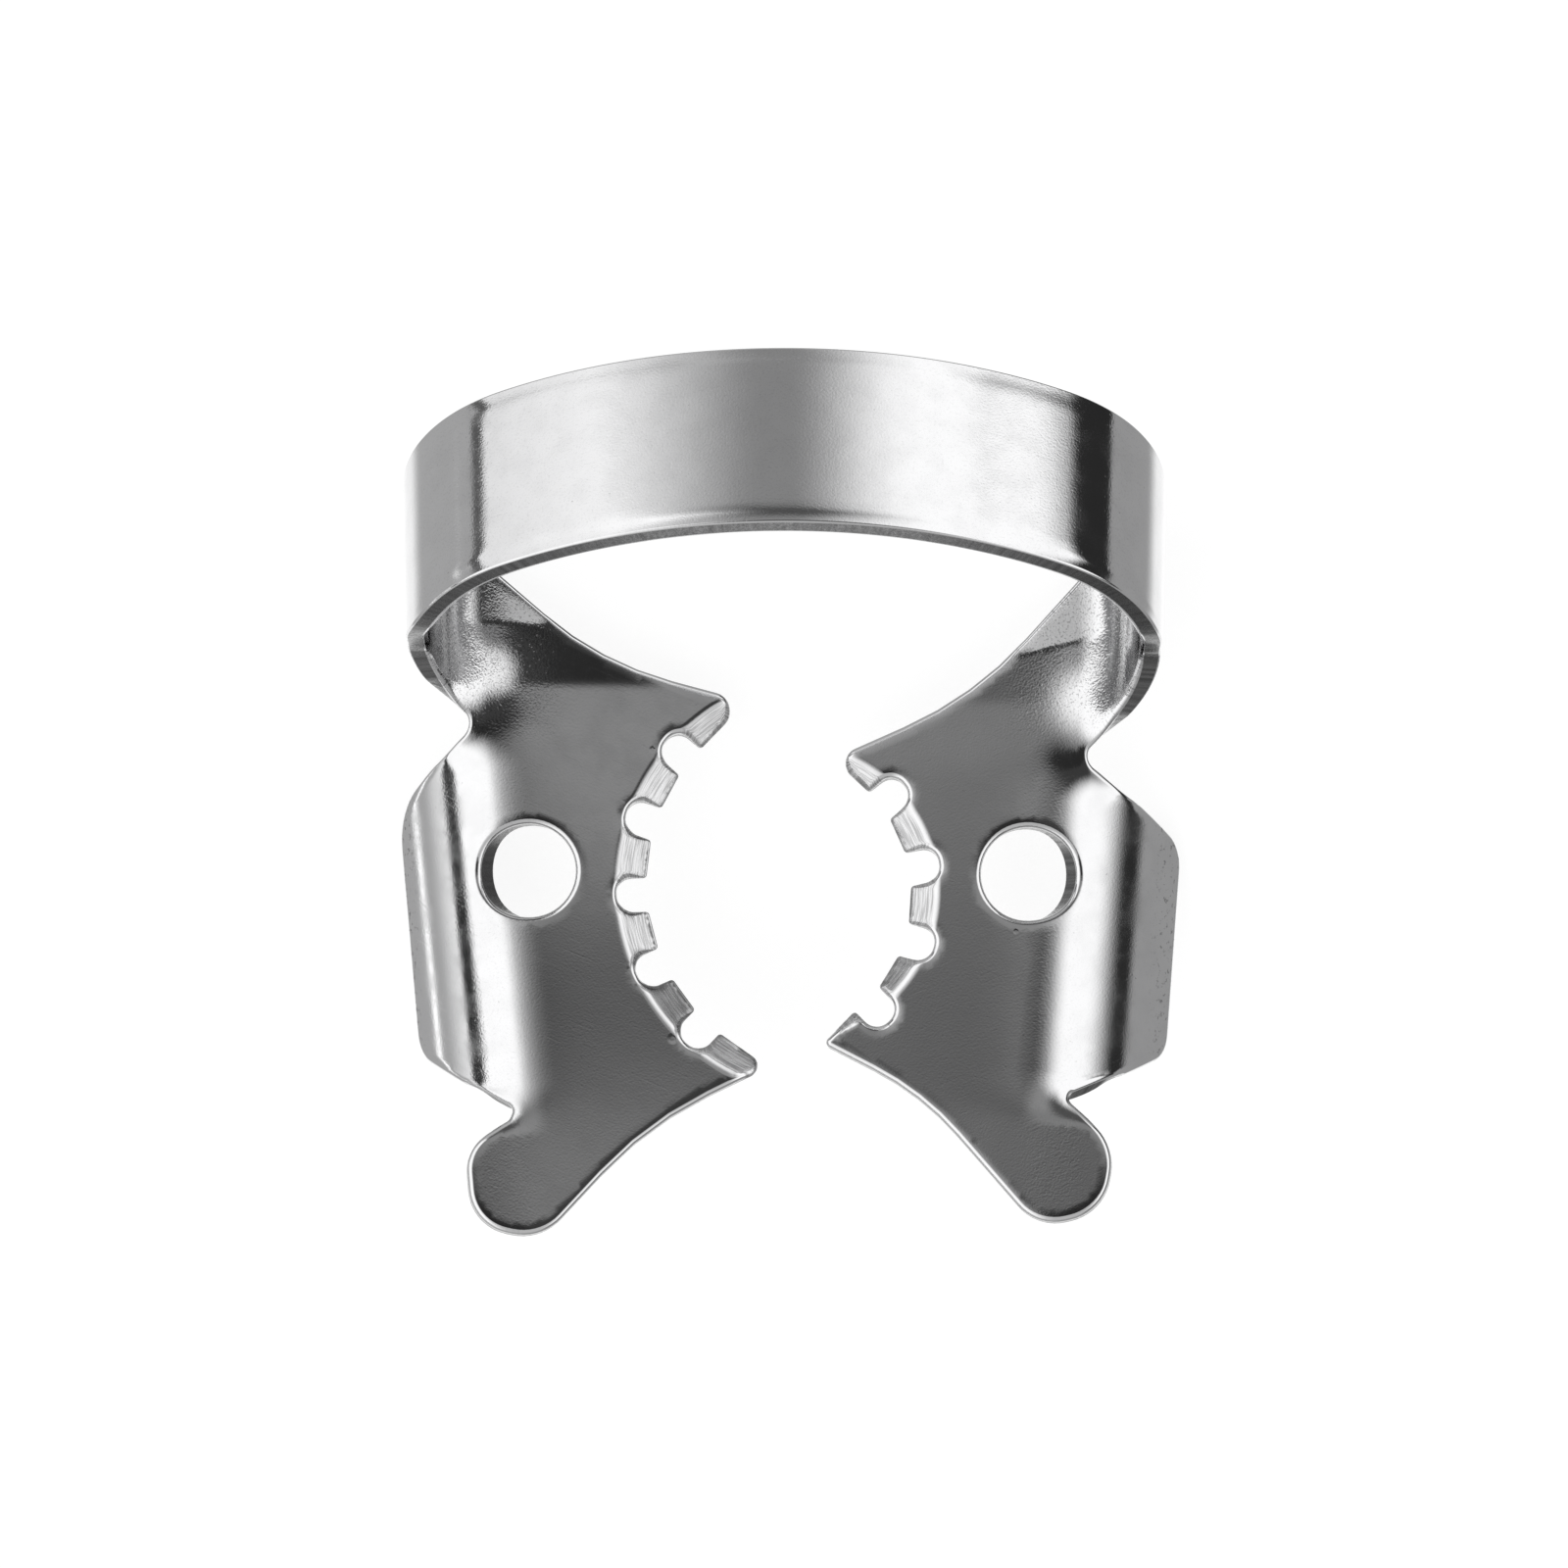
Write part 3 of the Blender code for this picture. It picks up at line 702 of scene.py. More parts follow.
def rim_rings(mesh, loop, is_hole):
    """Rings of vertices round one edge of the sheet, rounded at its top and its bottom."""
    sheet = mesh.sheet
    steps = inward(loop)
    full = thickness(loop, sheet)
    top = np.minimum(sheet.edge_round, full * EDGE_SHARE)
    low = np.minimum(sheet.burr_round, full * EDGE_SHARE)
    inner_top = loop + steps * top[:, None]
    low_loop = loop
    wall_painted_shade = 0.0
    if is_hole:
        side = 1 if loop[0, 0] > 0.0 else -1
        right = (side + 1) // 2
        # Painted shade: the left hole's wall is made darker in its colour
        wall_painted_shade = HOLE_PAINTED_SHADE[right]
        slant = to_sheet(side, -HOLE_SLANT[right] * MM, 0.0) - to_sheet(side, 0.0, 0.0)
        low_loop = loop + np.array(slant)
    inner_low = low_loop + steps * low[:, None]
    upper = face_form(sheet, True)
    lower = face_form(sheet, False)
    up = facing(loop, sheet)
    outward = unit(upper(loop) - upper(loop + steps * EDGE_PROBE))
    across, along = slopes(upper, inner_top)
    flat_normal = unit(np.cross(along, across))
    lean = worn_tilt(sheet, loop, top)[:, None]
    top_normal = unit(formed(flat_normal, across, along, inner_top) + outward * lean)
    runs = np.cumsum(np.linalg.norm(loop - np.roll(loop, 1, axis=0), axis=1))
    rings = []

    def add_ring(turn, face, shown, edge, wall, radius):
        """One ring of a rounding, turned from the face's normal towards the wall's."""
        lie, stand = math.cos(turn), math.sin(turn)
        heart = edge - face * radius
        foot = wall - outward * radius
        centre = heart + (foot - heart) * stand
        spots = centre + (face * lie + outward * stand) * radius
        rings.append(mesh.add(spots, unit(shown * lie + outward * stand), loop, runs, wall_painted_shade))

    turns = np.linspace(0.0, math.pi / 2.0, sheet.edge_segments + 1)
    radius = top[:, None]
    edge, wall = upper(inner_top), upper(loop) - up * radius
    for turn in turns:
        add_ring(turn, flat_normal, top_normal, edge, wall, radius)
    radius = low[:, None]
    edge, wall = lower(inner_low), lower(low_loop) + up * radius
    for turn in turns[::-1]:
        add_ring(turn, -up, -up, edge, wall, radius)
    for k, (first, second) in enumerate(zip(rings, rings[1:])):
        strip = np.stack([np.roll(first, 1), first, second, np.roll(second, 1)], axis=1)
        mesh.join(strip.tolist(), SHEARED if k == sheet.edge_segments else POLISHED)
    return inner_top, rings[0], rings[-1]


def build_sheet(sheet):
    """The bent clamp's mesh data, in the jaws' own frame."""
    mesh = SheetMesh(sheet)
    loops = sheet_loops(sheet)
    flats, tops, bottoms = zip(*(rim_rings(mesh, loop, k > 0) for k, loop in enumerate(loops)))
    ring_points = np.concatenate(flats)
    near = nearby(ring_points)
    points = np.concatenate([ring_points, filling(flats, near, sheet)])
    edges = []
    base = 0
    for flat in flats:
        edges += [(base + i, base + (i + 1) % len(flat)) for i in range(len(flat))]
        base += len(flat)
    coords = [Vector(p) for p in points / MM]
    spots, _, triangles, origins, _, _ = delaunay_2d_cdt(coords, edges, [], 2, 1e-7)
    rims = len(ring_points)
    hole = np.concatenate([np.full(len(flat), k) for k, flat in enumerate(flats)])
    source = np.array([row[0] if row else -1 for row in origins])
    spots = np.array(spots) * MM
    own = (source < 0) | (source >= rims)
    ring = np.where(own, -1, hole[np.clip(source, 0, rims - 1)])
    found = [near.find((*spot, 0.0)) for spot in spots[own]]
    rim_spots = ring_points[[row[1] for row in found]]
    distance = np.array([row[2] for row in found]) + sheet.edge_round
    sides = []
    for upper, rim in ((True, np.concatenate(tops)), (False, np.concatenate(bottoms))):
        numbers = np.zeros(len(spots), dtype=int)
        numbers[~own] = rim[source[~own]]
        numbers[own] = face_vertices(mesh, spots[own], rim_spots, distance, upper)
        sides.append(numbers)
    for a, b, c in triangles:
        if ring[a] > 0 and ring[a] == ring[b] == ring[c]:
            continue
        upper, lower = sides
        mesh.join([[upper[c], upper[b], upper[a]], [lower[a], lower[b], lower[c]]], POLISHED)
    return mesh


def rest_turn():
    """The rotation from the jaws' own frame to the world, as the clamp lies on the table."""
    return Euler([math.radians(angle) for angle in REST_TURN]).to_matrix()


def camera_turn():
    """The rotation from the camera's own axes to the world's."""
    return rest_turn() @ Matrix.Rotation(math.radians(CAMERA_TIP), 3, "X")


def rest_matrix(spots):
    """The turn and move that lay the jaws' own frame on the table, in the CAD box."""
    turn = np.array(rest_turn())
    turned = spots @ turn.T
    low, high = np.array(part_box("clamp"))
    move = (low + high) / 2.0 - (turned.min(axis=0) + turned.max(axis=0)) / 2.0
    move[2] = low[2] - turned[:, 2].min()
    return turn, move


def stretched(sides, u, v, s):
    """How far bending has drawn the sheet's skin into an orange peel, from 0 to 1."""
    neck = eased(v / MM, *PEEL_V) * eased(u / MM, *PEEL_U)
    past = u / MM - jaw_values(sides, "wing_bend")
    wing = eased(past, *PEEL_WING_START) * eased(past, *PEEL_WING_END) * PEEL_WING
    return np.where(s > 0.0, PEEL_BOW, np.maximum(neck, wing))


def build_clamp(sheet):
    """The clamp's object, laid at rest, with its place on the sheet kept on each vertex."""
    built = build_sheet(sheet)
    spots = np.concatenate(built.spots)
    turn, move = rest_matrix(spots)
    spots = spots @ turn.T + move
    normals = np.concatenate(built.normals) @ turn.T
    data = bpy.data.meshes.new("clamp_sheet")
    data.from_pydata(spots.tolist(), [], built.faces)
    data.polygons.foreach_set("material_index", built.finishes)
    places = np.concatenate(built.places)
    sides, u, v, s = jaw_coordinates(places)
    turned, reach, depth = bevel_place(places)
    keep = {
        "sheet_x": places[:, 0] / MM,
        "sheet_t": places[:, 1] / MM,
        "jaw_u": u * sides / MM,
        "jaw_v": v / MM,
        "edge_run": np.concatenate(built.runs) / MM,
        "hole_painted_shade": np.concatenate(built.wall_painted_shades),
        "stretched": stretched(sides, u, v, s),
        "bevel_depth": depth / MM,
        "bevel_run": turned * reach / MM,
    }
    for name, values in keep.items():
        layer = data.attributes.new(name, "FLOAT", "POINT")
        layer.data.foreach_set("value", values.astype(np.float32))
    data.shade_smooth()
    data.normals_split_custom_set_from_vertices(normals.tolist())
    return bpy.data.objects.new("clamp_sheet", data), Vector(move)


# Shader helpers

class Wiring:
    """Short calls that add and join shader nodes in one tree."""

    def __init__(self, tree):
        self.tree = tree

    def feed(self, socket, value):
        """Links a socket to another's output, or sets its value."""
        if isinstance(value, bpy.types.NodeSocket):
            self.tree.links.new(value, socket)
        else:
            socket.default_value = value

    def node(self, kind, inputs=(), **settings):
        """Adds a node, sets its properties and feeds its sockets, in order or by their keys."""
        made = self.tree.nodes.new(kind)
        for name, value in settings.items():
            setattr(made, name, value)
        keyed = inputs if isinstance(inputs, dict) else dict(enumerate(inputs))
        for key, value in keyed.items():
            self.feed(made.inputs[key], value)
        return made

    def math(self, operation, *values):
        """A Math node's result."""
        return self.node("ShaderNodeMath", values, operation=operation).outputs[0]

    def plus(self, first, second):
        """A sum."""
        return self.math("ADD", first, second)

    def less(self, first, second):
        """A difference."""
        return self.math("SUBTRACT", first, second)

    def times(self, first, second):
        """A product."""
        return self.math("MULTIPLY", first, second)

    def largest(self, first, *others):
        """The largest of some numbers."""
        for other in others:
            first = self.math("MAXIMUM", first, other)
        return first

    def dot(self, vector, direction):
        """How far a vector reaches along a fixed direction."""
        inputs = (vector, tuple(direction))
        made = self.node("ShaderNodeVectorMath", inputs, operation="DOT_PRODUCT")
        return made.outputs["Value"]

    def ramp(self, value, start, end, low=0.0, high=1.0, shape="SMOOTHSTEP"):
        """A value taken from one range to another."""
        inputs = (value, start, end, low, high)
        made = self.node("ShaderNodeMapRange", inputs, interpolation_type=shape, clamp=True)
        return made.outputs["Result"]

    def band(self, value, centre, half, soft):
        """One where a value lies within a band, with soft edges."""
        off = self.math("ABSOLUTE", self.less(value, centre))
        return self.ramp(off, half + soft, half - soft)

    def value(self, name):
        """A number kept on each vertex of the mesh."""
        return self.node("ShaderNodeAttribute", attribute_name=name).outputs["Fac"]

    def vector(self, x, y, z=0.0):
        """A vector from three numbers."""
        return self.node("ShaderNodeCombineXYZ", (x, y, z)).outputs[0]

    def noise(self, place, scale, detail=2.0, roughness=0.5, distortion=0.0):
        """Fractal noise, from 0 to 1."""
        return self.node("ShaderNodeTexNoise", {
            "Vector": place, "Scale": scale, "Detail": detail,
            "Roughness": roughness, "Distortion": distortion,
        }).outputs["Fac"]

    def group(self, tree, place):
        """A node group placed in this tree, where a place on the clamp is given to it."""
        return self.node("ShaderNodeGroup", {"Place": place}, node_tree=tree)

    def blend(self, factor, first, second):
        """A number between two others."""
        inputs = {0: factor, 2: first, 3: second}
        return self.node("ShaderNodeMix", inputs, data_type="FLOAT").outputs[0]

    def for_camera(self, seen, otherwise):
        """A shader for what the camera sees, and another for all else."""
        in_view = self.node("ShaderNodeLightPath").outputs["Is Camera Ray"]
        inputs = (in_view, otherwise.outputs[0], seen.outputs[0])
        return self.node("ShaderNodeMixShader", inputs).outputs[0]


# Studio

def studio_axes():
    """The photograph's right and up, and the upright of its table, in the world."""
    turn = camera_turn()
    upright = Vector((0.0, math.sin(STUDIO_TIP), math.cos(STUDIO_TIP)))
    return turn @ Vector((1.0, 0.0, 0.0)), turn @ Vector((0.0, 1.0, 0.0)), turn @ upright


def soft_boxes(wiring, light, x, y, height):
    """The room above the table: a dim ceiling between a left and a right soft box."""
    in_bow = wiring.ramp(y, *BOW_RAYS)
    reach = wiring.ramp(y, 0.66, 0.80, LEFT_BOX_FULL_IN_BOW, LEFT_BOX_FULL, "LINEAR")
    left = wiring.ramp(x, LEFT_BOX_START, wiring.blend(in_bow, LEFT_BOX_FULL, reach))
    dull, bright = (light.left_box * share for share in LEFT_BOX_SHARES)
    left_level = wiring.ramp(height, 10.0, 40.0, dull, bright, "LINEAR")
    left_level = wiring.blend(wiring.ramp(y, 0.25, 0.45), bright, left_level)
    edge = wiring.ramp(y, 0.15, 0.85, *RIGHT_BOX_EDGE, "LINEAR")
    plate_onset, bow_onset, full = RIGHT_BOX_BLEND
    onset = wiring.ramp(y, *BOW_RAYS, plate_onset, bow_onset)
    right = wiring.ramp(wiring.less(x, edge), onset, full)

    # Dark low down, dim over the plates and the bow's sides, and lit over the near edge
    low, plates, bow, top = (
        light.ceiling * share
        for share in (CEILING_LOW, CEILING_PLATES, CEILING_BOW, CEILING_TOP))
    ceiling = wiring.ramp(y, 0.12, 0.30, low, plates)
    ceiling = wiring.times(ceiling, wiring.ramp(x, -0.1, 0.1, 1.0, CEILING_RIGHT))
    ceiling = wiring.blend(in_bow, ceiling, bow)
    ceiling = wiring.blend(wiring.ramp(y, 0.78, 0.88), ceiling, top)
    ceiling = wiring.blend(wiring.ramp(y, -0.08, -0.20), ceiling, light.front_box)
    room = wiring.blend(left, ceiling, left_level)
    room = wiring.blend(right, room, light.right_box)

    # The back wall, whose top falls away to both sides
    left_top, right_top = BACK_WALL_TOP
    top = wiring.ramp(x, -0.82, -0.36, BACK_WALL_SIDE_TOP, left_top, "LINEAR")
    right_side = wiring.ramp(x, 0.60, 0.84, right_top, BACK_WALL_SIDE_TOP, "LINEAR")
    top = wiring.blend(wiring.ramp(x, 0.10, 0.40), top, right_side)
    back = wiring.ramp(wiring.less(height, top), 3.0, -4.0)
    back = wiring.times(back, wiring.ramp(y, 0.5, 0.7))
    back = wiring.times(back, wiring.ramp(wiring.math("ABSOLUTE", x), 0.86, 0.72))
    return wiring.blend(back, room, light.back_wall)


def table_reflection(wiring, light, x, y, height):
    """The table as the steel sees it: grey, brighter close by and at the left's far end."""
    table = wiring.blend(wiring.ramp(x, -0.1, 0.1), light.left_table, light.right_table)
    low_left = wiring.times(wiring.ramp(x, -0.3, -0.6), wiring.ramp(y, 0.42, 0.22))
    glow = wiring.times(low_left, wiring.ramp(height, -9.0, 0.0, 0.0, TABLE_GLOW))
    gleam = wiring.times(wiring.band(height, GLEAM_HEIGHT, 1.0, 1.2), low_left)
    table = wiring.plus(table, wiring.plus(glow, wiring.times(gleam, TABLE_GLEAM)))
    near = wiring.ramp(y, 0.25, 0.50, light.near_table, light.near_table * NEAR_IN_BOW)
    return wiring.blend(wiring.ramp(height, -44.0, -58.0), table, near)


def dark_walls(wiring, light, x, y, height, room):
    """A room with the dark wall behind the table on the right, and its dark line on the left."""
    foot = wiring.ramp(y, 0.15, 0.50, *WALL_FOOT, "LINEAR")
    wall = wiring.ramp(wiring.less(height, foot), -1.5, 1.5)
    wall = wiring.times(wall, wiring.ramp(height, 16.0, 4.6))
    room = wiring.blend(wiring.times(wall, wiring.ramp(x, 0.35, 0.6)), room, light.wall)
    level = wiring.ramp(y, 0.1, 0.5, *LINE_LEVEL, "LINEAR")
    off = wiring.math("ABSOLUTE", wiring.less(height, level))
    line = wiring.ramp(wiring.less(off, wiring.ramp(y, 0.25, 0.40, *LINE_HALF)), 0.6, -0.8)
    line = wiring.times(line, wiring.ramp(x, -0.35, -0.6))
    return wiring.blend(line, room, wiring.ramp(y, 0.25, 0.40, light.wall, LINE_SHADE))


def studio_world(light):
    """The studio round the clamp, white for the camera and lit by soft boxes for all else."""
    world = bpy.data.worlds.new("studio")
    world.use_nodes = True
    world.node_tree.nodes.remove(world.node_tree.nodes["Background"])
    wiring = Wiring(world.node_tree)
    ray = wiring.node("ShaderNodeTexCoord").outputs["Generated"]
    right, up, upright = studio_axes()
    x = wiring.dot(ray, right)
    y = wiring.dot(ray, up)
    height = wiring.times(wiring.math("ARCSINE", wiring.dot(ray, upright)), math.degrees(1.0))
    above = soft_boxes(wiring, light, x, y, height)
    below = table_reflection(wiring, light, x, y, height)
    room = wiring.blend(wiring.ramp(height, -0.7, 0.7), below, above)
    room = dark_walls(wiring, light, x, y, height, room)
    stand = wiring.dot(ray, camera_turn() @ Vector((0.0, 0.0, 1.0)))
    shade = wiring.ramp(stand, STAND_EDGE - STAND_BLEND, STAND_EDGE + STAND_BLEND)
    room = wiring.blend(shade, room, light.wall)

    lit = wiring.node("ShaderNodeBackground", (WHITE, room))
    white = wiring.node("ShaderNodeBackground", (WHITE,))
    surface = world.node_tree.nodes["World Output"].inputs["Surface"]
    wiring.feed(surface, wiring.for_camera(white, lit))
    bpy.context.scene.world = world


def table_material(light):
    """A white table that keeps a soft shadow and leaves reflections to the studio round it."""
    material = bpy.data.materials.new("white_table")
    material.use_nodes = True
    tree = material.node_tree
    wiring = Wiring(tree)
    tree.nodes.remove(tree.nodes["Principled BSDF"])
    matt = wiring.node("ShaderNodeBsdfDiffuse", ((light.table_shade,) * 3 + (1.0,),))
    glow = wiring.node("ShaderNodeEmission", (WHITE, light.table_glow))
    both = wiring.node("ShaderNodeAddShader", (matt.outputs[0], glow.outputs[0]))
    clear = wiring.node("ShaderNodeBsdfTransparent")
    wiring.feed(tree.nodes["Material Output"].inputs["Surface"], wiring.for_camera(both, clear))
    return material


# Settings

def length(name, description, default, **more):
    """A length that a user can set."""
    return FloatProperty(
        name=name, description=description, default=default, unit="LENGTH", **more)


def angle(name, description, degrees):
    """An angle that a user can set."""
    return FloatProperty(
        name=name, description=description, default=math.radians(degrees), subtype="ANGLE")


def fraction(name, description, default):
    """A share from 0 to 1 that a user can set."""
    return FloatProperty(
        name=name, description=description, default=default, min=0.0, max=1.0,
        subtype="FACTOR")


def brightness(name, part, default):
    """How bright a part of the studio is, as a user can set it."""
    return FloatProperty(name=name, description=f"Brightness of {part}", default=default)


class ClampSheetSizes(PropertyGroup):
    """The sizes of the sheet that a user would change."""

    thickness: length("Thickness", "Thickness of the steel sheet", 0.70 * MM)
    edge_round: length("Edge rounding", "Radius tumbled on the upper edges", 0.17 * MM)
    wear_width: length("Wear width", "Width of the worn zone along the edges", 1.00 * MM)
    wear_turn: angle("Wear turn", "How far the worn zone leans at the edge", 15.0)
    burr_round: length("Lower edge rounding", "Radius left on the lower edges", 0.07 * MM)
    edge_segments: IntProperty(
        name="Edge segments", description="Facets across each rounded edge", default=4)
    bevel_slope: angle("Bevel slope", "Slope of the bevel ground on the teeth", 33.0)
    bevel_blend: length("Bevel blend", "Width of the bevel's soft upper edge", 0.34 * MM)
    tip_thickness: length("Tip thickness", "Thickness left at the tips of the teeth", 0.14 * MM)
    grid: length("Mesh fineness", "Distance between the points of the mesh", 0.20 * MM)
    origin: FloatVectorProperty(
        name="Jaw origin", description="Where the jaws' own origin lies",
        default=(0.0, 0.0, 0.0), size=3, unit="LENGTH")


class ClampSteelLook(PropertyGroup):
    """The finish of the steel that a user would change."""

    tint: FloatVectorProperty(
        name="Steel tint", description="Colour of the polished steel",
        default=(0.66, 0.66, 0.665), size=3, min=0.0, max=1.0, subtype="COLOR")
    roughness: fraction("Roughness", "Roughness of the satin polish", 0.06)
    grain: length("Grain", "Depth of the satin grain", 0.0008 * MM, precision=6)
    waves: length("Waves", "Depth of the faint waves of the rolled sheet", 0.002 * MM, precision=6)
    scratches: length("Scratches", "Depth of the hair scratches", 0.0002 * MM, precision=6)
    grinding: length(
        "Grinding marks", "Depth of the grinding marks on the teeth", 0.005 * MM, precision=6)


class ClampStudio(PropertyGroup):
    """The studio's lights, as a user would change them."""

    ceiling: brightness("Ceiling", "the dim ceiling between the soft boxes", 0.22)
    left_box: brightness("Left soft box", "the left soft box", 1.30)
    right_box: brightness("Right soft box", "the right soft box", 1.48)
    front_box: brightness("Front soft box", "the soft box over the near edge", 0.66)
    back_wall: brightness("Back wall", "the wall behind the bow", 0.62)
    left_table: brightness("Left table", "the left of the table in reflections", 0.52)
    right_table: brightness("Right table", "the right of the table in reflections", 0.42)
    near_table: brightness("Near table", "the table close below in reflections", 1.15)
    wall: brightness("Wall", "the dark wall behind the table's edge", 0.03)
    table_shade: fraction("Table shade", "How much of the light the table gives back", 0.25)
    table_glow: brightness("Table glow", "what is added to the table for the camera", 0.85)


# Materials

def new_group(name, inputs, outputs):
    """An empty shader node group with its sockets: names and kinds."""
    tree = bpy.data.node_groups.new(name, "ShaderNodeTree")
    for side, sockets in (("INPUT", inputs), ("OUTPUT", outputs)):
        for label, kind in sockets:
            tree.interface.new_socket(label, in_out=side, socket_type=kind)
    wiring = Wiring(tree)
    return tree, wiring, wiring.node("NodeGroupInput"), wiring.node("NodeGroupOutput")


def satin_grain():
    """Group: the grain of barrel polished steel, and its duller patches."""
    tree, wiring, given, result = new_group(
        "satin_grain", [("Place", "NodeSocketVector")],
        [("Height", "NodeSocketFloat"), ("Patches", "NodeSocketFloat")])
    place = given.outputs["Place"]
    fine = wiring.noise(place, 14.0, 1.0, 0.5)
    coarse = wiring.noise(place, 3.1, 2.0, 0.5)
    height = wiring.plus(fine, wiring.times(coarse, 0.5))
    pits = wiring.ramp(wiring.noise(place, 10.0, 0.0), 0.68, 0.78)
    height = wiring.less(height, wiring.times(pits, 0.25))
    wiring.feed(result.inputs["Height"], height)
    patches = wiring.ramp(wiring.noise(place, 0.9, 4.0, 0.6), 0.35, 0.70)
    wiring.feed(result.inputs["Patches"], patches)
    return tree


def hair_scratches():
    """Group: fine scratches in several directions, broken up into short runs."""
    tree, wiring, given, result = new_group(
        "hair_scratches", [("Place", "NodeSocketVector")], [("Lines", "NodeSocketFloat")])
    lines = []
    for turn, offset in SCRATCH_TURNS:
        turned = wiring.node("ShaderNodeMapping", {
            "Vector": given.outputs["Place"],
            "Location": (offset, offset * 3.0, 0.0),
            "Rotation": (0.0, 0.0, math.radians(turn)),
            "Scale": SCRATCH_SCALE,
        }).outputs[0]
        lines.append(wiring.ramp(wiring.noise(turned, 1.0, 1.0, 0.4), 0.70, 0.80))
    wiring.feed(result.inputs["Lines"], wiring.largest(*lines))
    return tree


def nicks():
    """Group: the depth of a few small nicks on the jaws."""
    tree, wiring, given, result = new_group(
        "nicks", [("Place", "NodeSocketVector")], [("Depth", "NodeSocketFloat")])
    dents = []
    for u, v, radius in NICKS:
        inputs = (given.outputs["Place"], (u, v, 0.0))
        away = wiring.node("ShaderNodeVectorMath", inputs, operation="DISTANCE")
        dents.append(wiring.ramp(away.outputs["Value"], radius, radius * 0.3))
    wiring.feed(result.inputs["Depth"], wiring.largest(*dents))
    return tree


def tinted(wiring, look, shade, darkest):
    """The steel's tint, taken down to a darkest share of it by a shade over the surface."""
    dark = (*(part * darkest for part in look.tint), 1.0)
    inputs = {0: shade, 6: dark, 7: (*look.tint, 1.0)}
    return wiring.node("ShaderNodeMix", inputs, data_type="RGBA").outputs[2]


def bump(wiring, height, distance, normal=None):
    """A normal raised by a height, over a distance in metres."""
    inputs = {"Height": height, "Distance": distance}
    if normal is not None:
        inputs["Normal"] = normal
    return wiring.node("ShaderNodeBump", inputs).outputs["Normal"]


def new_steel(name):
    """A steel material, with its wiring and its shader."""
    material = bpy.data.materials.new(name)
    material.use_nodes = True
    shader = material.node_tree.nodes["Principled BSDF"]
    shader.inputs["Metallic"].default_value = 1.0
    return material, Wiring(material.node_tree), shader


def grinding_marks(wiring):
    """Where the teeth's bevels are ground, and the marks that run along them."""
    depth = wiring.value("bevel_depth")
    run = wiring.value("bevel_run")
    ground = wiring.ramp(depth, *GROUND_START)
    marks = wiring.noise(wiring.vector(run, wiring.times(depth, 24.0)), 0.8, 2.0, 0.6, 0.1)
    return ground, marks, run


def face_shade(wiring, place, patches):
    """How bright the polished faces are, with pits, specks where rubbed and an opened skin."""
    pits = wiring.ramp(wiring.noise(place, 6.0, 2.0, 0.6), 0.72, 0.80)
    rubbed = wiring.ramp(wiring.math("ABSOLUTE", wiring.value("jaw_u")), *RUBBED_EDGE)
    rubbed = wiring.times(rubbed, wiring.ramp(wiring.value("jaw_v"), 0.5, -0.5))
    specks = wiring.ramp(wiring.noise(place, 4.5, 3.0, 0.7), 0.56, 0.66)
    open_skin = wiring.ramp(wiring.noise(place, 12.0, 1.0), 0.56, 0.68)
    share = wiring.ramp(wiring.value("stretched"), 0.08, 1.0, 0.0, PEEL_SPECKS, "LINEAR")
    open_skin = wiring.times(open_skin, share)
    pits = wiring.largest(pits, wiring.times(specks, rubbed), open_skin)
    shade = wiring.less(1.0, wiring.times(pits, PIT_SHADE))
    return wiring.less(shade, wiring.times(patches, PATCH_SHADE))


def polished_material(look, grain, scratches, dents):
    """The sheet's polished faces, with ground bevels on the teeth and painted shade on the left
    jaw's front teeth.
    """
    material, wiring, shader = new_steel("polished_steel")
    place = wiring.vector(wiring.value("sheet_x"), wiring.value("sheet_t"))
    satin = wiring.group(grain, place)
    patches = satin.outputs["Patches"]
    lines = wiring.group(scratches, place).outputs["Lines"]
    ground, marks, run = grinding_marks(wiring)
    jaw_place = wiring.vector(wiring.value("jaw_u"), wiring.value("jaw_v"))
    dented = wiring.group(dents, jaw_place).outputs["Depth"]

    streaks = wiring.ramp(marks, 0.32, 0.64, *GROUND_SHADES)
    # Painted shade: the left jaw's front teeth are made darker, where the bow darkens what they
    # reflect
    on_left = wiring.ramp(wiring.value("jaw_u"), 0.0, -0.5)
    front = wiring.times(on_left, wiring.band(run, -4.0, 1.7, 0.3))
    front = wiring.less(1.0, wiring.times(front, FRONT_TEETH_PAINTED_SHADE))
    shade = wiring.blend(
        ground, face_shade(wiring, place, patches), wiring.times(streaks, front))
    wiring.feed(shader.inputs["Base Color"], tinted(wiring, look, shade, DARKEST_FACE))

    dull = wiring.plus(wiring.times(patches, PATCH_DULLS), wiring.times(lines, SCRATCH_DULLS))
    plain = wiring.plus(dull, look.roughness)
    wiring.feed(shader.inputs["Roughness"], wiring.blend(ground, plain, GROUND_ROUGHNESS))

    peel = wiring.plus(1.0, wiring.times(wiring.value("stretched"), PEEL_GRAIN))
    waves = bump(wiring, wiring.noise(place, 0.42, 1.0, 0.4), look.waves)
    fine = bump(wiring, wiring.times(satin.outputs["Height"], peel), look.grain, waves)
    scored = bump(wiring, wiring.less(1.0, lines), look.scratches, fine)
    marked = wiring.less(wiring.times(marks, ground), dented)
    wiring.feed(shader.inputs["Normal"], bump(wiring, marked, look.grinding, scored))
    return material


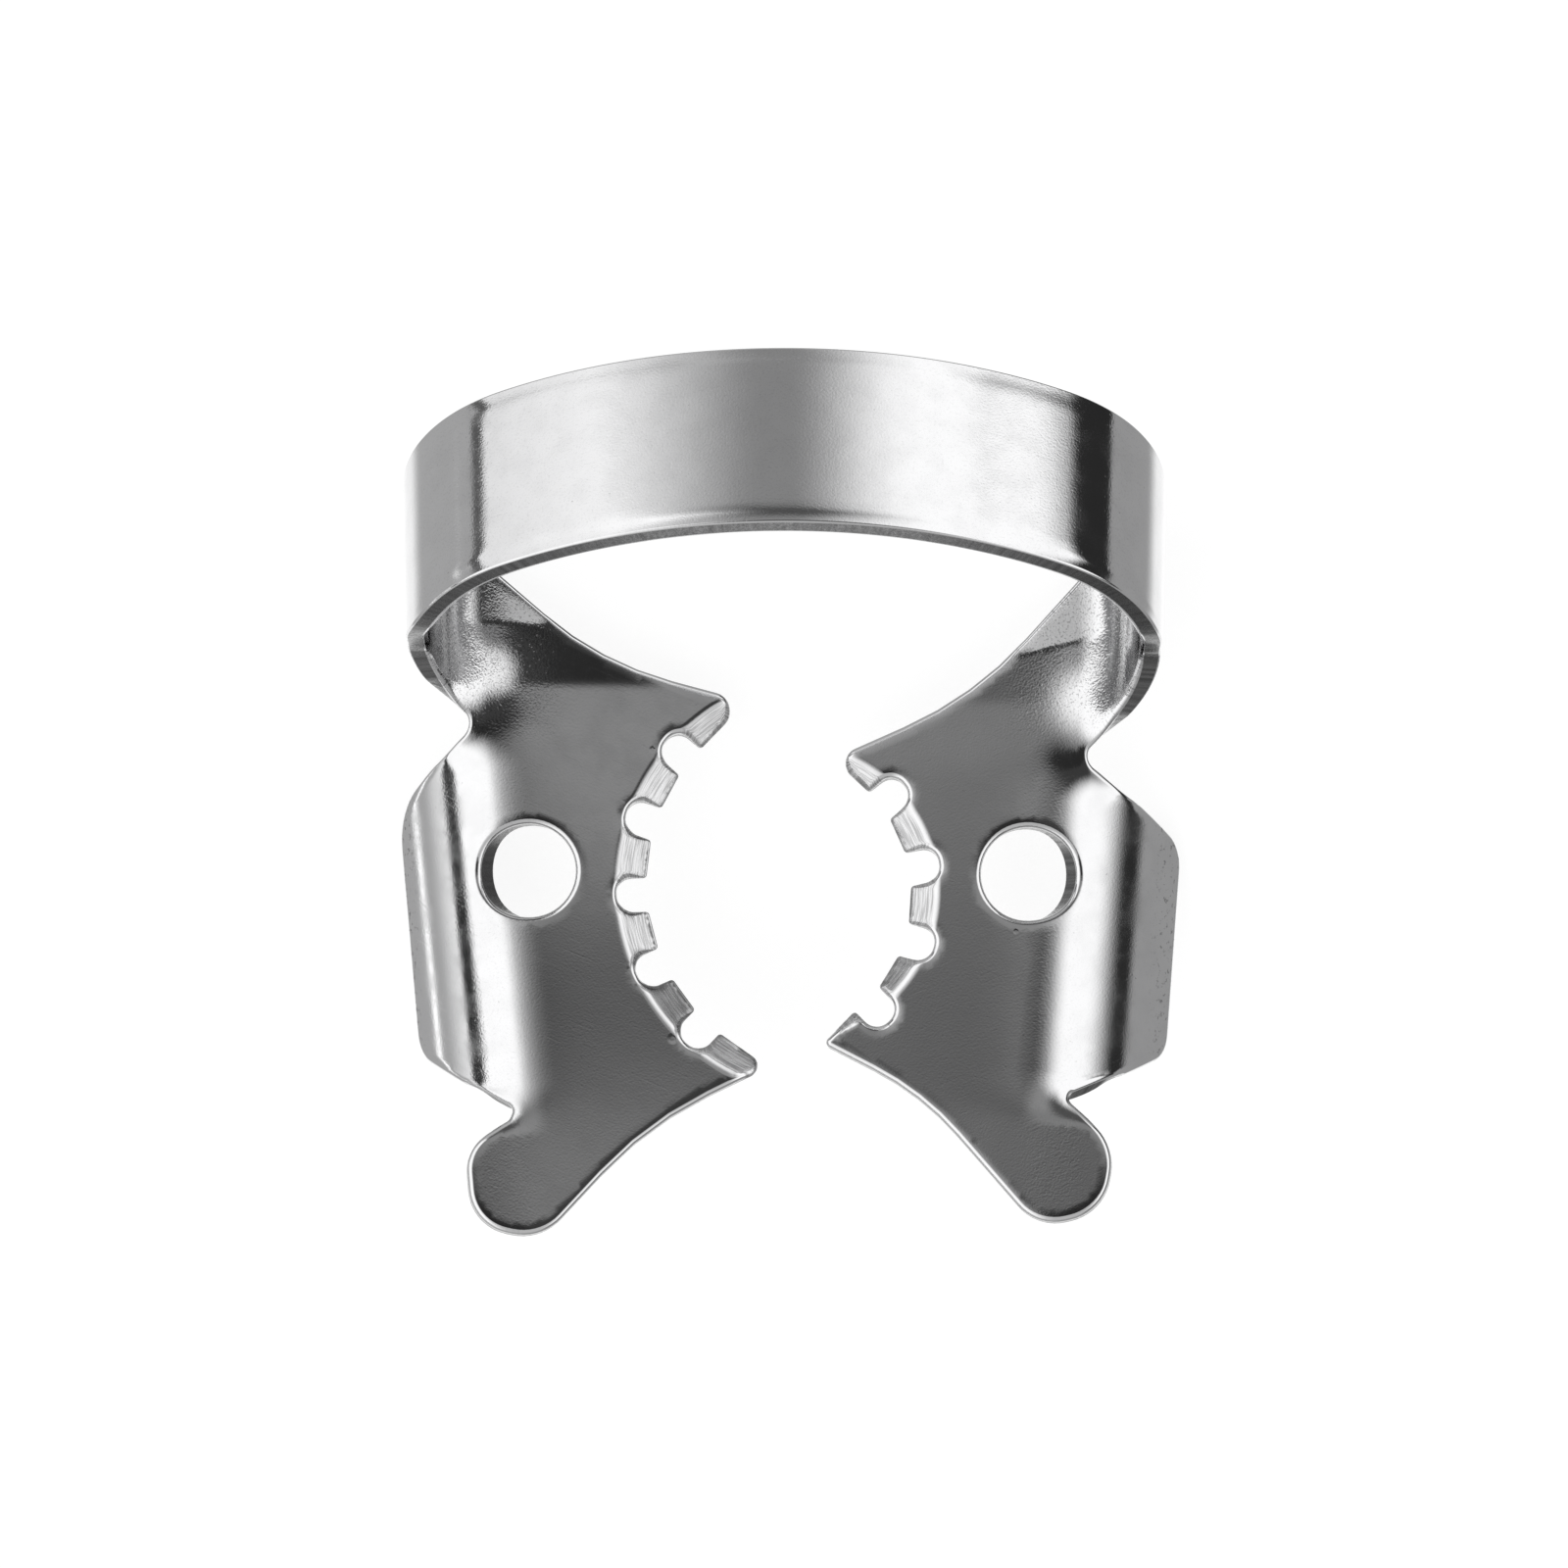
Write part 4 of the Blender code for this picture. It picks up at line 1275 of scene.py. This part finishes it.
def sheared_material(look, grain):
    """The sheet's punched edges, scored through the thickness by the shear, with some painted
    highlight and shade.
    """
    material, wiring, shader = new_steel("sheared_steel")
    spot = wiring.node("ShaderNodeTexCoord").outputs["Object"]
    in_mm = wiring.node("ShaderNodeMapping", {"Vector": spot, "Scale": (1.0 / MM,) * 3})
    height = wiring.group(grain, in_mm.outputs[0]).outputs["Height"]
    torn = wiring.ramp(height, 0.60, 0.95)
    run = wiring.times(wiring.value("edge_run"), 5.0)
    scores = wiring.noise(wiring.vector(run, 0.0), 1.0, 2.0, 0.6)
    from_crown = wiring.math("ABSOLUTE", wiring.value("sheet_x"))
    # Painted highlight: the sheared edge is made lighter round the bow's crown
    crown = wiring.ramp(from_crown, *CROWN_RANGE)
    crown = wiring.times(crown, wiring.ramp(torn, 0.2, 0.8, 0.6, 1.0))
    shade = wiring.ramp(scores, 0.30, 0.70, *SCORE_SHADES)
    shade = wiring.plus(shade, wiring.times(crown, CROWN_PAINTED_HIGHLIGHT))
    # Painted shade: the sheared edge is made darker at the bow's corners
    corner = wiring.band(from_crown, 12.5, 3.4, 1.0)
    shade = wiring.times(shade, wiring.less(1.0, wiring.times(corner, CORNER_PAINTED_SHADE)))
    # Painted shade on the left hole's wall, taken off the edge's colour
    shade = wiring.times(shade, wiring.less(1.0, wiring.value("hole_painted_shade")))
    wiring.feed(shader.inputs["Base Color"], tinted(wiring, look, shade, DARKEST_EDGE))
    wiring.feed(shader.inputs["Roughness"], wiring.blend(torn, *EDGE_ROUGHNESS))
    scored = bump(wiring, scores, look.grinding * SCORE_DEPTH)
    wiring.feed(shader.inputs["Normal"], bump(wiring, height, look.grain, scored))
    return material


# Add-on

class CLAMP_OT_sheet(Operator):
    """Build the bent steel sheet of the clamp"""

    bl_idname = "clamp.sheet"
    bl_label = "Steel Sheet"

    def execute(self, context):
        sheet = context.scene.clamp_sheet
        piece, sheet.origin = build_clamp(sheet)
        look = context.scene.clamp_steel
        grain = satin_grain()
        piece.data.materials.append(polished_material(look, grain, hair_scratches(), nicks()))
        piece.data.materials.append(sheared_material(look, grain))
        context.scene.collection.objects.link(piece)
        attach(piece, "root")
        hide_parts("clamp")
        return {"FINISHED"}


class CLAMP_OT_stage(Operator):
    """Build the pale table, the studio light and the camera"""

    bl_idname = "clamp.stage"
    bl_label = "Studio"

    def execute(self, context):
        light = context.scene.clamp_studio
        studio_world(light)
        data = bpy.data.meshes.new("table")
        ways = ((-1, -1), (1, -1), (1, 1), (-1, 1))
        corners = [(x * TABLE_REACH, y * TABLE_REACH, 0.0) for x, y in ways]
        data.from_pydata(corners, [], [(0, 1, 2, 3)])
        data.materials.append(table_material(light))
        table = bpy.data.objects.new("table", data)
        context.scene.collection.objects.link(table)
        turn = camera_turn()
        origin = Vector(context.scene.clamp_sheet.origin)
        camera_data = bpy.data.cameras.new("camera")
        camera_data.lens = CAMERA_LENS
        camera_data.sensor_width = SENSOR_WIDTH
        camera = bpy.data.objects.new("camera", camera_data)
        place = origin + turn @ Vector((0.0, 0.0, CAMERA_DISTANCE))
        camera.matrix_world = Matrix.Translation(place) @ turn.to_4x4()
        context.scene.collection.objects.link(camera)
        context.scene.camera = camera
        context.scene.view_settings.view_transform = "Standard"
        return {"FINISHED"}


class CLAMP_PT_panel(Panel):
    """The clamp's pieces and their sizes"""

    bl_idname = "CLAMP_PT_panel"
    bl_label = "Rubber Dam Clamp"
    bl_space_type = "VIEW_3D"
    bl_region_type = "UI"
    bl_category = "Clamp"

    def draw(self, context):
        scene = context.scene
        for group in (scene.clamp_sheet, scene.clamp_steel, scene.clamp_studio):
            for name in group.__annotations__:
                self.layout.prop(group, name)
        for name in OPERATORS:
            self.layout.operator(name)


CLASSES = (
    ClampSheetSizes, ClampSteelLook, ClampStudio, CLAMP_OT_sheet, CLAMP_OT_stage, CLAMP_PT_panel)
OPERATORS = ("clamp.sheet", "clamp.stage")


def register():
    """Register the classes and hang the settings on the scene."""
    for item in CLASSES:
        bpy.utils.register_class(item)
    bpy.types.Scene.clamp_sheet = PointerProperty(type=ClampSheetSizes)
    bpy.types.Scene.clamp_steel = PointerProperty(type=ClampSteelLook)
    bpy.types.Scene.clamp_studio = PointerProperty(type=ClampStudio)


def unregister():
    """Take the settings and the classes away again."""
    del bpy.types.Scene.clamp_studio
    del bpy.types.Scene.clamp_steel
    del bpy.types.Scene.clamp_sheet
    for item in reversed(CLASSES):
        bpy.utils.unregister_class(item)


def main():
    """Build the clamp and its studio."""
    register()
    bpy.ops.clamp.sheet()
    bpy.ops.clamp.stage()


if __name__ == "__main__":
    main()
